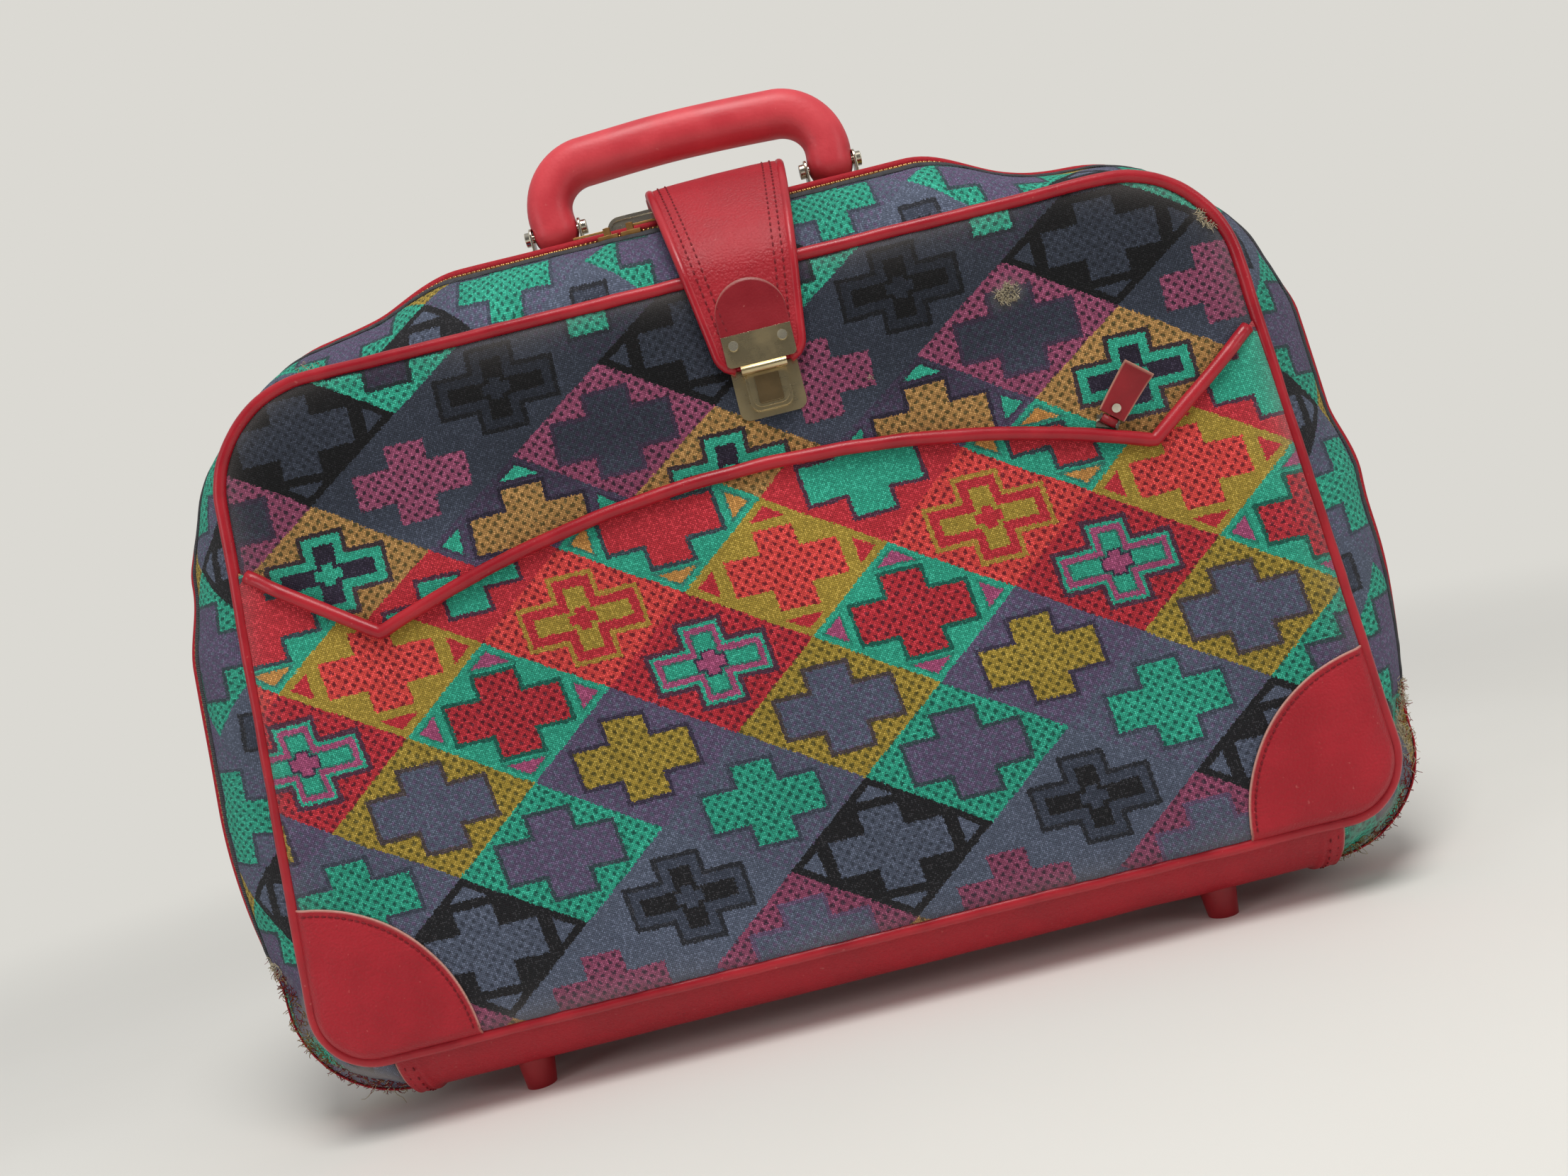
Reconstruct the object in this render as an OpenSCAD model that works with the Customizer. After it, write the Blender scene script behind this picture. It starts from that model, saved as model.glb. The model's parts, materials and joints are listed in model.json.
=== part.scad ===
// Soft-sided overnight suitcase with a zipped gusset, a front pocket, a strap lock and a moulded handle.
// Millimetres, +Z up, the front faces -Y, the origin lies under the middle of the case, on the floor.

/* [Panels] */
// Width of the front and back panels along their bottom edge
panel_bottom_w = 455; // [420:1:500]
// Width of the panels along their top edge
panel_top_w = 418; // [390:1:440]
// Height of the panels
panel_h = 276; // [262:1:320]
// Radius of the upper corners
panel_top_r = 46; // [36:1:56]
// Radius of the lower corners
panel_bottom_r = 25; // [18:1:32]
// Thickness of the fibre boards
board_t = 2.5; // [1.5:0.1:3.5]
// Thickness of the padded cloth covers
cover_t = 2; // [1.2:0.1:3]
// Diameter of the piping round the panels
piping_d = 6; // [4:0.1:7]

/* [Gusset] */
// Distance between the front and the back piping
gusset_depth = 104; // [96:1:130]
// Swell of the gusset beyond the panels over the top
top_bulge = 37; // [30:1:45]
// Swell of the gusset beyond the panels at the sides
side_bulge = 40; // [30:1:46]
// Swell of the gusset at the upper corners
shoulder_bulge = 14; // [8:1:28]
// Swell of the gusset at the lower corners
corner_bulge = 26; // [16:1:28]
// Drop of the base below the panels
base_drop = 23; // [18:1:30]
// Thickness of the gusset's cloth and lining
gusset_wall = 2; // [1.4:0.1:3]
// Thickness of the base board
base_board_t = 3; // [2:0.1:4]

/* [Zip] */
// Distance of the zip in front of the middle of the gusset
zip_offset = 12; // [10:0.5:16]
// Width of one zip tape
zip_tape_w = 5; // [4:0.5:8]
// Reach of one row of teeth from its tape
zip_tooth_w = 3; // [2:0.1:4]
// Distance between two teeth of one row
zip_pitch = 9; // [7:0.5:14]

/* [Front pocket] */
// Distance of the welt's crown below the panel's top edge
welt_crown_drop = 79.5; // [70:0.5:95]
// Drop of the welt's two points below its crown
welt_sag = 28.5; // [20:0.5:40]
// Distance of the points from the middle
welt_point_x = 160; // [140:1:170]
// Rise of the welt's ends above its crown
welt_end_rise = 4.5; // [0:0.5:12]
// Diameter of the welt
welt_d = 5.6; // [4:0.1:7]
// Thickness of the pocket's cloth
pocket_t = 1.5; // [1:0.1:2]
// Place of the pocket slider from the middle, along X
pocket_slider_x = 142; // [100:1:148]
// Length of the leather pull tab
tab_l = 24; // [16:0.5:28]
// Width of the leather pull tab
tab_w = 12; // [9:0.5:14]
// Radius of the corner patches
patch_r = 68; // [50:1:80]

/* [Handle] */
// Width over the handle's arms
handle_w = 148; // [140:1:160]
// Height of the grip's top above the pivots
handle_h = 38; // [36:0.5:46]
// Thickness of the grip, seen from the front
grip_t = 19.5; // [14:0.5:20]
// Thickness of the grip from front to back
grip_d = 18; // [14:0.5:20]
// Width of the arms, seen from the front
arm_w = 20; // [16:0.5:22]
// Distance of the handle's middle from the middle of the case
handle_x = 4; // [0:0.5:6]
// Diameter of the pivot pins
pin_d = 4; // [3:0.1:5]
// Length of the bracket plate between the clips
bracket_l = 82; // [76:1:86]
// Height of the standing bracket plate
bracket_h = 12; // [10:0.5:14]

/* [Strap and lock] */
// Distance of the strap and the lock from the middle of the case
strap_x = 15; // [8:0.5:15]
// Width of the strap over the top
strap_top_w = 64; // [50:1:64]
// Width of the strap above the hasp
strap_low_w = 39; // [36:0.5:44]
// Thickness of the strap
strap_t = 3; // [2:0.1:4]
// Diameter of the strap's edge beads
bead_d = 4; // [3:0.1:5]
// Distance of the strap's lower end above the welt's crown
strap_gap = 38.5; // [34:0.5:44]
// Width of the hasp plate
hasp_w = 28.5; // [24:0.5:32]
// Height of the hasp plate
hasp_h = 14; // [12:0.5:18]
// Width of the lock's base plate
lock_w = 27.5; // [25:0.5:32]
// Height of the lock's base plate
lock_h = 28; // [27:0.5:31]
// Width of the press button
button_w = 10; // [8:0.5:11]
// Height of the press button
button_h = 11; // [8:0.5:11]
// Travel of the press button
button_travel = 1.6; // [1:0.1:2]

/* [Feet] */
// Height of the feet
foot_h = 10; // [7:0.5:14]
// Diameter of a foot at the base
foot_d = 16; // [13:0.5:20]
// Distance of the feet from the ends of the base strip
foot_inset = 50.5; // [24:0.5:80]
// Distance of the feet from the middle, along Y
foot_y = 24; // [18:0.5:26]

/* [Hidden] */
$fn = 48;

// Colours
vinyl_red = "firebrick";
cloth_print = "darkslateblue";
cloth_pocket = "teal";
board_brown = "tan";
tape_red = "crimson";
metal_nickel = "silver";
metal_brass = "darkkhaki";

// Seams, fits and cuts
seam_gap = 0.2;
fit_gap = 0.05;
slide_gap = 0.3;
cut = 1;

// Steps along the curves
arc_steps = 6;
side_steps = 7;
top_steps = 2;
shoulder_steps = 4;
tube_sides = 8;

// Panel outline
piping_r = piping_d / 2;
gusset_lip = 1;
z_low = foot_h + base_drop + gusset_lip;
z_high = z_low + panel_h;
lean = atan2((panel_bottom_w - panel_top_w) / 2, panel_h);
low_cx = panel_bottom_w / 2 - panel_bottom_r * (1 + sin(lean)) / cos(lean);
low_cz = z_low + panel_bottom_r;
high_cx = panel_top_w / 2 - panel_top_r * (1 - sin(lean)) / cos(lean);
high_cz = z_high - panel_top_r;
cover_inset = piping_r + seam_gap;

// Pull tab, its pivot and how far it stands off the panel
tab_t = 1.6;
tab_lift = 15;
tab_lean = 23;
tab_cheek_h = 3;
tab_eye_d = 3.6;
tab_pin_d = 1.6;
tab_eye_l = 6.4;
tab_cheek_t = 1;
pocket_slider_t = 2;
tab_plane = slide_gap + pocket_slider_t + tab_eye_d / 2 + seam_gap;
tab_reach = tab_plane + tab_l * sin(tab_lift) + tab_t / 2 * cos(tab_lift);

// Planes from front to back
patch_t = 1.2;
pocket_zip_t = 0.6;
front_reach = gusset_depth / 2 - piping_r + board_t + cover_t + tab_reach;
bead_r = bead_d / 2;
strap_clear = slide_gap + bead_r - strap_t / 2;
back_reach = gusset_depth / 2 + piping_r + strap_clear + strap_t / 2 + bead_r;
y_mid = (front_reach - back_reach) / 2;
front_pipe_y = y_mid - gusset_depth / 2;
back_pipe_y = y_mid + gusset_depth / 2;
front_board_y = front_pipe_y + piping_r - board_t;
front_face_y = front_board_y - cover_t;
back_board_y = back_pipe_y - piping_r + board_t;
back_face_y = back_board_y + cover_t;
pocket_y = front_face_y - pocket_zip_t - seam_gap;
pocket_face_y = pocket_y - pocket_t;

// Gusset section: how far along its side it reaches full swell, and how square the base and the sides are
swell_share = 0.3;
base_power = 5;
side_power = 2.2;
shoulder_half = panel_top_r * PI * (90 - lean) / 360;
shoulder_side_reach = 60;
shoulder_top_reach = 95;
gusset_half = gusset_depth / 2 - piping_r - seam_gap;
front_steps = 4;
back_steps = 5;
strip_steps = 24;
crest_z = z_high + gusset_lip + top_bulge;

// Zip
zip_recess = 0.8;
zip_tape_t = 0.8;
zip_tooth_t = 1.6;
zip_tooth_rise = 0.6;
zip_root_share = 0.66;
zip_root_w = zip_tooth_w * zip_root_share;
zip_bite = zip_tooth_w - zip_root_w;
zip_y = -zip_offset;
tape_front_y = zip_y - zip_root_w - seam_gap;
tape_back_y = zip_y + zip_root_w + seam_gap;
back_edge_y = tape_back_y + zip_tape_w + seam_gap;
zip_surface_z = crest_z - top_bulge * pow(zip_offset / gusset_half, side_power);
zip_tilt = atan(top_bulge * side_power / gusset_half * pow(zip_offset / gusset_half, side_power - 1));
slider_l = 9;
slider_w = 8;
slider_t = 1;
slider_lip = 1.1;
slider_lift = zip_tooth_rise + slide_gap + seam_gap;
slider_left_x = -36;
slider_gap = 1.2;
slider_right_x = slider_left_x + slider_l + slider_gap;
pull_pin_d = 1.4;
pull_eye_d = 3;
pull_w = 4;
pull_l = 15;
pull_t = 1;
bail_t = 1;
pull_pin_z = slider_lift + slider_t + pull_eye_d / 2 + slide_gap;

// Pocket welt
welt_r = welt_d / 2;
welt_y = pocket_y - welt_r;
welt_crown_h = panel_h - welt_crown_drop;
welt_end_h = welt_crown_h + welt_end_rise;
arch_r = (welt_point_x * welt_point_x + welt_sag * welt_sag) / (2 * welt_sag);
arch_cz = z_low + welt_crown_h - arch_r;
arch_turn = asin(welt_point_x / arch_r);
arch_stations = 14;
welt_end_z = z_low + welt_end_h;
welt_end_x = panel_bottom_w / 2 - welt_end_h * tan(lean) - piping_r - welt_r - seam_gap;

// Pocket zip and pull tab
pocket_zip_w = 5;
pocket_slider_turn = asin(pocket_slider_x / arch_r);
pocket_slider_l = 9;
pocket_slider_w = 5;
pocket_zip_gap = 0.8;
tab_y = front_face_y - tab_plane;
tab_axis_r = arch_r + welt_r + pocket_zip_gap + pocket_slider_w / 2;
tab_rivet_d = 2.2;
tab_rivet_head_d = 3.6;
tab_rivet_head_t = 0.8;
tab_rivet_place_share = 0.24;

// Handle, clips and bracket
clip_t = 1.2;
clip_w = 9;
clip_gap = 0.1;
ear_gap = 0.5;
barrel_d = 6.4;
barrel_l = 2.4;
arm_r = arm_w / 2;
tip_inset = 0.6;
bracket_offset = 4;
bracket_y = y_mid + bracket_offset;
clip_base_z = crest_z + clip_gap;
flange_z = clip_base_z + clip_t;
web_z = flange_z + clip_t;
bracket_top_z = flange_z + bracket_h;
pivot_z = flange_z + ear_gap + arm_r;
arm_x = handle_w / 2 - arm_r;
tip_x = arm_x - tip_inset;
grip_z = pivot_z + handle_h - grip_t / 2;
bend_r = 21;
arm_rise = grip_z - bend_r - pivot_z;
grip_crown = 1.5;
dome_steps = 4;
dome_start = 18;
ease_steps = 3;
bend_steps = 7;
grip_steps = 3;
grip_sides = 14;
ear_x = arm_r + ear_gap;
barrel_end_x = ear_x + clip_t + barrel_l;
bracket_half = bracket_l / 2;
bracket_end_r = bracket_h / 2;
web_t = 1.4;
rim_w = 1.6;
rim_t = 0.7;
flange_w = 10;
bracket_flat_y = bracket_offset + flange_w / 2;
rivet_d = 3.2;
rivet_head_d = 6;
rivet_head_t = 1.2;
bracket_rivet_inset = 7;
bracket_rivet_x = bracket_half - bracket_rivet_inset;
clip_overlap = 14;
backing_t = 1.5;
backing_w = 12;
backing_drop = 1.6;
backing_z = crest_z - gusset_wall - backing_drop - backing_t;

// Strap, its beads and its patch
strap_front_y = front_pipe_y - piping_r - strap_clear;
strap_back_y = back_pipe_y + piping_r + strap_clear;
strap_room = 1.6;
strap_top_z = bracket_top_z + strap_room;
strap_end_z = z_low + welt_crown_h + strap_gap;
strap_turn_drop = 2;
strap_turn_z = z_high - strap_turn_drop;
strap_back_drop = 42;
strap_back_end_z = z_high - strap_back_drop;
strap_reach_share = 0.47;
strap_rise_share = 0.29;
strap_steps = 9;
strap_corner_r = 9;
strap_back_corner_r = 14;
patch_w = 29;
patch_rise = 7;
strap_face_y = strap_front_y - strap_t;
strap_patch_t = 1;
hasp_y = strap_face_y - strap_patch_t;
hasp_t = 1;
hasp_low_z = strap_end_z;
hasp_high_z = hasp_low_z + hasp_h;
hasp_corner_r = 2;
hasp_step = 1.2;
hasp_step_w = 18.5;
hasp_bead_d = 3.6;
hasp_bead_l = 18.5;
hasp_rivet_x = 10;
hasp_rivet_drop = 4.4;
hasp_rivet_d = 2;
hasp_rivet_head_d = 4;
hasp_rivet_head_t = 1.1;

// Lock
lock_t = 1.2;
lock_tuck = 8;
lock_high_z = hasp_low_z + lock_tuck;
lock_low_z = lock_high_z - lock_h;
lock_corner_r = 4;
lock_face_y = front_face_y - lock_t;
frame_wall = 1.1;
frame_side = 2.4;
frame_step = 1.2;
frame_w = button_w + 2 * (frame_side + frame_step);
frame_margin = 2.8;
frame_low_z = lock_low_z + frame_margin;
frame_high_z = hasp_low_z - seam_gap;
frame_r = 3.5;
button_flange = 0.8;
button_flange_t = 0.6;
button_rise = 1.5;
button_r = 1.2;
button_gap = 0.1;
spring_t = 0.3;
spring_room = button_travel + spring_t + 2 * button_gap;
frame_h = frame_wall + button_gap + button_flange_t + spring_room;
frame_low_h = frame_h - frame_wall;
frame_face_y = lock_face_y - frame_h;
button_low_z = frame_low_z + frame_side;
prong_w = 3;
prong_t = 0.8;
prong_x = 9;
prong_z = (frame_low_z + frame_high_z) / 2;
prong_gap = 0.1;
lock_backing_t = 1.2;
spring_w = 5;
spring_span = 8;

// Base strip, base board and feet
strip_end_gap = 0.3;
strip_half = low_cx - strip_end_gap;
foot_x = strip_half - foot_inset;
base_board_inset = 6;
base_board_margin = 7;
base_board_w = 2 * (foot_y + base_board_margin);
base_board_lift = base_drop * pow(base_board_w / 2 / gusset_half, base_power);
base_board_z = foot_h + gusset_wall + seam_gap + base_board_lift;
foot_seat = base_drop * pow((foot_y + foot_d / 2) / gusset_half, base_power);
foot_tip_share = 0.8;
foot_rivet_d = 4;
foot_rivet_head_d = 7.4;
foot_rivet_head_t = 1.4;
foot_recess_d = 8;
foot_recess_h = 3;

function lerp(a, b, k) = a + (b - a) * k;
function mirrored(list) = [for (i = [len(list) - 1:-1:0]) list[i]];

// A station is a point of an outline seen from the front, with the direction of its outward normal
function arc_run(cx, cz, r, a0, a1, n) =
  [for (i = [0:n]) let (a = lerp(a0, a1, i / n)) [cx + r * cos(a), cz + r * sin(a), a]];
function straight_run(p, q, n) = [for (i = [1:n - 1]) lerp(p, q, i / n)];
function flipped(list) = [for (s = mirrored(list)) [-s[0], s[1], 180 - s[2]]];

// Right half of the panel outline, from the bottom strip's end to the top edge
low_arc = arc_run(low_cx, low_cz, panel_bottom_r, -90, lean, arc_steps);
high_arc = arc_run(high_cx, high_cz, panel_top_r, lean, 90, arc_steps);
top_flat = [high_cx + shoulder_half - shoulder_top_reach, z_high, 90];
right_half = concat(
  low_arc, straight_run(low_arc[arc_steps], high_arc[0], side_steps),
  high_arc, straight_run(high_arc[arc_steps], top_flat, shoulder_steps), [top_flat]);
left_half = flipped(right_half);
top_run = straight_run(right_half[len(right_half) - 1], left_half[0], top_steps);
wrap = concat(right_half, top_run, left_half);

// The panel outline, moved outward by d
function outline(d) = [for (s = wrap) [s[0] + d * cos(s[2]), s[1] + d * sin(s[2])]];

// Where a station faces: the base has a turn of 0, the sides and the top 1
function facing(s) = s[0] >= 0 ? s[2] : 180 - s[2];
function low_turn(s) = min(1, (facing(s) + 90) / (90 + lean));
function high_turn(s) = max(0, (facing(s) - lean) / (90 - lean));
function rise(s) = sin(90 * min(1, max(0, (s[1] - low_cz) / (panel_h * swell_share))));

// Way along the outline from the middle of an upper corner, and how far the gusset has filled out there
function corner_way(s) =
  abs(s[0]) < high_cx ? shoulder_half + high_cx - abs(s[0])
  : s[1] < high_arc[0][1] ? shoulder_half + (high_arc[0][1] - s[1]) / cos(lean)
  : shoulder_half * abs(2 * high_turn(s) - 1);
function over_top(s) = high_turn(s) > 1 / 2;
function fill(s) =
  let (k = min(1, corner_way(s) / (over_top(s) ? shoulder_top_reach : shoulder_side_reach)))
  k * k * (3 - 2 * k);
function high_bulge(s) = lerp(shoulder_bulge, over_top(s) ? top_bulge : side_bulge, fill(s));
function bulge(s) = lerp(lerp(base_drop, corner_bulge, low_turn(s)), high_bulge(s), rise(s));
function swell(s, y) =
  gusset_lip + bulge(s) * (1 - pow(abs(y) / gusset_half, lerp(base_power, side_power, low_turn(s))));

// A point of the gusset, at a depth below its surface
function band_point(s, y, depth) =
  let (o = swell(s, y) - depth) [s[0] + o * cos(s[2]), y_mid + y, s[1] + o * sin(s[2])];
function band_ring(s, y0, y1, n, top, bottom) = concat(
  [for (j = [0:n]) band_point(s, lerp(y0, y1, j / n), top)],
  [for (j = [n:-1:0]) band_point(s, lerp(y0, y1, j / n), bottom)]);
function flat_ring(s, y0, y1, y2, n, top, bottom) = concat(
  [band_point(s, y0, top)], band_ring(s, y1, y2, n, top, bottom), [band_point(s, y0, bottom)]);
function tube_ring(p, side, up, w, h, n) =
  [for (j = [0:n - 1]) let (a = 360 * j / n) p + side * w * cos(a) + up * h * sin(a)];

function quad(i, k, j, n) = [i * n + j, k * n + j, k * n + (j + 1) % n, i * n + (j + 1) % n];
function wall_faces(m, n) = [for (i = [0:m - 2], j = [0:n - 1]) quad(i, i + 1, j, n)];

// Solid through a row of rings, closed by end caps
module loft(rings) {
  m = len(rings);
  n = len(rings[0]);
  caps = [[for (j = [0:n - 1]) j], [for (j = [n - 1:-1:0]) (m - 1) * n + j]];
  polyhedron([for (r = rings) each r], concat(wall_faces(m, n), caps), convexity = 8);
}

// Solid through a closed loop of rings
module loop_loft(rings) {
  m = len(rings);
  n = len(rings[0]);
  closing = [for (j = [0:n - 1]) quad(m - 1, 0, j, n)];
  polyhedron([for (r = rings) each r], concat(wall_faces(m, n), closing), convexity = 8);
}

// Band of the gusset's surface between two distances from the middle
module band(y0, y1, n, top, bottom) {
  loft([for (s = wrap) band_ring(s, y0, y1, n, top, bottom)]);
}

// A shape drawn in X and Z, between two distances along Y
module upright(y0, y1) {
  translate([0, y1, 0])
    rotate([90, 0, 0])
      linear_extrude(y1 - y0)
        children();
}

// A shape drawn in Y and Z, between two distances along X
module sideways(x0, x1) {
  translate([x0, 0, 0])
    rotate([90, 0, 90])
      linear_extrude(x1 - x0)
        children();
}

// A rod along X or along Y
module rod_x(x0, x1, y, z, d) {
  translate([x0, y, z])
    rotate([0, 90, 0])
      cylinder(h = x1 - x0, d = d);
}
module rod_y(x, y0, y1, z, d) {
  translate([x, y1, z])
    rotate([90, 0, 0])
      cylinder(h = y1 - y0, d = d);
}

// Rectangle from a lower left corner, with round lower corners
module tongue_shape(x, z, w, h, r) {
  translate([x - w / 2, z + r])
    square([w, h - r]);
  translate([x - w / 2 + r, z])
    square([w - 2 * r, h]);
  for (side = [-1, 1])
    translate([x + side * (w / 2 - r), z + r])
      circle(r);
}

module panel_shape(inset) {
  polygon(outline(-inset));
}

// Pairs of prong holes through what the lock is clinched to
module prong_holes(y0, y1) {
  for (side = [-1, 1])
    translate([strap_x + side * prong_x - prong_w / 2 - prong_gap, y0, prong_z - prong_t / 2 - prong_gap])
      cube([prong_w + 2 * prong_gap, y1 - y0, prong_t + 2 * prong_gap]);
}

// Shanks of the bracket rivets, as cuts or as solids
module bracket_shanks(z0, z1, d) {
  for (side = [-1, 1])
    translate([handle_x + side * bracket_rivet_x, bracket_y, z0])
      cylinder(h = z1 - z0, d = d);
}

// Shanks of the foot rivets
module foot_shanks(z0, z1, d) {
  for (sx = [-1, 1], sy = [-1, 1])
    translate([sx * foot_x, y_mid + sy * foot_y, z0])
      cylinder(h = z1 - z0, d = d);
}

module front_cover() {
  color(cloth_print)
    difference() {
      upright(front_face_y, front_board_y)
        panel_shape(cover_inset);
      prong_holes(front_face_y - cut, front_board_y + cut);
    }
}

module front_board() {
  color(board_brown)
    difference() {
      upright(front_board_y, front_board_y + board_t)
        panel_shape(cover_inset);
      prong_holes(front_board_y - cut, front_board_y + board_t + cut);
    }
}

module back_cover() {
  color(cloth_print)
    upright(back_board_y, back_face_y)
      panel_shape(cover_inset);
}

module back_board() {
  color(board_brown)
    upright(back_board_y - board_t, back_board_y)
      panel_shape(cover_inset);
}

module front_gusset() {
  color(cloth_print)
    band(-gusset_half, tape_front_y - zip_tape_w - seam_gap, front_steps, 0, gusset_wall);
}

module back_gusset() {
  color(cloth_print)
    difference() {
      loft([for (s = wrap) flat_ring(s, back_edge_y, bracket_flat_y, gusset_half, back_steps, 0, gusset_wall)]);
      bracket_shanks(crest_z - gusset_wall - backing_drop, crest_z + cut, rivet_d + 2 * fit_gap);
    }
}

// Section of the base: flattened below, turned up to the piping at the front and the back
function strip_edge(depth) = [
  for (j = [0:strip_steps])
    let (y = lerp(-gusset_half, gusset_half, j / strip_steps))
    [y_mid + y, z_low + depth - swell([0, z_low, -90], y)]
];

module bottom_strip() {
  color(vinyl_red)
    difference() {
      sideways(-strip_half, strip_half)
        polygon(concat(strip_edge(0), mirrored(strip_edge(gusset_wall))));
      foot_shanks(foot_h - cut, base_board_z, foot_rivet_d + 2 * fit_gap);
    }
}

module base_board() {
  board_l = 2 * (strip_half - base_board_inset);
  color(board_brown)
    difference() {
      translate([-board_l / 2, y_mid - base_board_w / 2, base_board_z])
        cube([board_l, base_board_w, base_board_t]);
      foot_shanks(base_board_z - cut, base_board_z + base_board_t + cut, foot_rivet_d + 2 * fit_gap);
    }
}

module piping(y) {
  rings = [
    for (s = wrap)
      tube_ring([s[0], y, s[1]], [0, -1, 0], [cos(s[2]), 0, sin(s[2])], piping_r, piping_r, tube_sides)
  ];
  color(vinyl_red)
    loop_loft(rings);
}

module front_piping() {
  piping(front_pipe_y);
}

module back_piping() {
  piping(back_pipe_y);
}

// Welt stations from the right side to the left: a straight run, a point, the arch, a point, a straight run
welt_arch = arc_run(0, arch_cz, arch_r, 90 - arch_turn, 90 + arch_turn, arch_stations);
welt_run_a = atan2(welt_end_z - welt_arch[0][1], welt_end_x - welt_arch[0][0]);
welt_point = [welt_arch[0][0], welt_arch[0][1], (90 - arch_turn + 90 + welt_run_a) / 2];
welt_end = [welt_end_x, welt_end_z, 90 + welt_run_a];
welt_middle = [for (i = [1:arch_stations - 1]) welt_arch[i]];
welt_path = concat([welt_end, welt_point], welt_middle, flipped([welt_end, welt_point]));

// Everything of the panel below the welt
module below_welt() {
  drop = welt_r + seam_gap;
  edge = [for (s = welt_path) [s[0] - drop * cos(s[2]), s[1] - drop * sin(s[2])]];
  last = edge[len(edge) - 1];
  sides = [[-panel_bottom_w, last[1]], [-panel_bottom_w, 0], [panel_bottom_w, 0], [panel_bottom_w, edge[0][1]]];
  polygon(concat(edge, sides));
}

module pocket_front() {
  color(cloth_pocket)
    intersection() {
      upright(pocket_face_y, pocket_y)
        panel_shape(cover_inset);
      upright(pocket_face_y - cut, pocket_y + cut)
        below_welt();
    }
}

module pocket_welt() {
  rings = [
    for (s = welt_path)
      tube_ring([s[0], welt_y, s[1]], [0, -1, 0], [cos(s[2]), 0, sin(s[2])], welt_r, welt_r, tube_sides)
  ];
  color(vinyl_red)
    loft(rings);
}

// Half circle cut from a ring round the arch's centre, as a strip along the arch
module arch_strip(r0, r1, y0, y1) {
  half = arch_r * sin(arch_turn);
  intersection() {
    difference() {
      rod_y(0, y0, y1, arch_cz, 2 * r1);
      rod_y(0, y0 - cut, y1 + cut, arch_cz, 2 * r0);
    }
    translate([-half, y0 - cut, arch_cz])
      cube([2 * half, y1 - y0 + 2 * cut, r1 + cut]);
  }
}

module pocket_zip() {
  r0 = arch_r - welt_r - pocket_zip_w;
  color(tape_red)
    arch_strip(r0, arch_r + welt_r, front_face_y - pocket_zip_t, front_face_y);
}

// Frame of the pocket slider: X along the arch, Z away from its centre
module on_arch() {
  translate([0, 0, arch_cz])
    rotate([0, pocket_slider_turn, 0])
      children();
}

module pocket_slider() {
  low_r = arch_r + welt_r + pocket_zip_gap;
  body_y = front_face_y - slide_gap - pocket_slider_t;
  cheek_x = tab_eye_l / 2 + seam_gap;
  color(metal_nickel)
    union() {
      on_arch()
        translate([-pocket_slider_l / 2, body_y, low_r])
          cube([pocket_slider_l, pocket_slider_t, pocket_slider_w]);
      on_pivot() {
        for (side = [-1, 1])
          translate([side * (cheek_x + tab_cheek_t / 2) - tab_cheek_t / 2, -tab_pin_d / 2, -tab_cheek_h / 2])
            cube([tab_cheek_t, body_y - tab_y + tab_pin_d / 2 + fit_gap, tab_cheek_h]);
        rod_x(-cheek_x - fit_gap, cheek_x + fit_gap, 0, 0, tab_pin_d);
      }
    }
}

// Frame of the tab's pivot, leaning to the side
module on_pivot() {
  on_arch()
    translate([0, tab_y, tab_axis_r])
      rotate([0, tab_lean, 0])
        children();
}

// Frame of the leather tab: its pivot at the origin, its length along Z
module on_tab() {
  on_pivot()
    rotate([tab_lift, 0, 0])
      children();
}

module pocket_tab() {
  color(vinyl_red)
    on_tab()
      difference() {
        union() {
          rod_x(-tab_eye_l / 2, tab_eye_l / 2, 0, 0, tab_eye_d);
          translate([-tab_eye_l / 2, -tab_t / 2, 0])
            cube([tab_eye_l, tab_t, tab_eye_d]);
          translate([-tab_w / 2, -tab_t / 2, tab_eye_d])
            cube([tab_w, tab_t, tab_l - tab_eye_d]);
        }
        rod_x(-tab_eye_l, tab_eye_l, 0, 0, tab_pin_d + 2 * fit_gap);
        rod_y(0, -tab_t, tab_t, tab_l * tab_rivet_place_share, tab_rivet_d + 2 * fit_gap);
      }
}

module pocket_tab_rivet() {
  head_z = tab_l * tab_rivet_place_share;
  color(metal_nickel)
    on_tab() {
      rod_y(0, -tab_t / 2 - fit_gap, tab_t / 2 + fit_gap, head_z, tab_rivet_d);
      for (y = [-tab_t / 2 - tab_rivet_head_t, tab_t / 2])
        rod_y(0, y, y + tab_rivet_head_t, head_z, tab_rivet_head_d);
    }
}

module corner_patch(side) {
  color(vinyl_red)
    intersection() {
      upright(pocket_face_y - patch_t, pocket_face_y)
        panel_shape(cover_inset);
      rod_y(side * panel_bottom_w / 2, pocket_face_y - patch_t - cut, pocket_face_y + cut, z_low, 2 * patch_r);
    }
}

module corner_patch_left() {
  corner_patch(-1);
}

module corner_patch_right() {
  corner_patch(1);
}

module zip_tape_front() {
  color(tape_red)
    band(tape_front_y - zip_tape_w, tape_front_y, 1, zip_recess, zip_recess + zip_tape_t);
}

module zip_tape_back() {
  color(tape_red)
    band(tape_back_y, tape_back_y + zip_tape_w, 1, zip_recess, zip_recess + zip_tape_t);
}

// Lengths along the gusset at the zip, station by station
zip_line = [for (s = wrap) band_point(s, zip_y, 0)];
function run_lengths(list, i = 0, sum = 0) =
  i >= len(list) - 1 ? [sum] : concat([sum], run_lengths(list, i + 1, sum + norm(list[i + 1] - list[i])));
zip_lengths = run_lengths(zip_line);
zip_total = zip_lengths[len(zip_lengths) - 1];
zip_count = floor(zip_total / zip_pitch);

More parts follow.
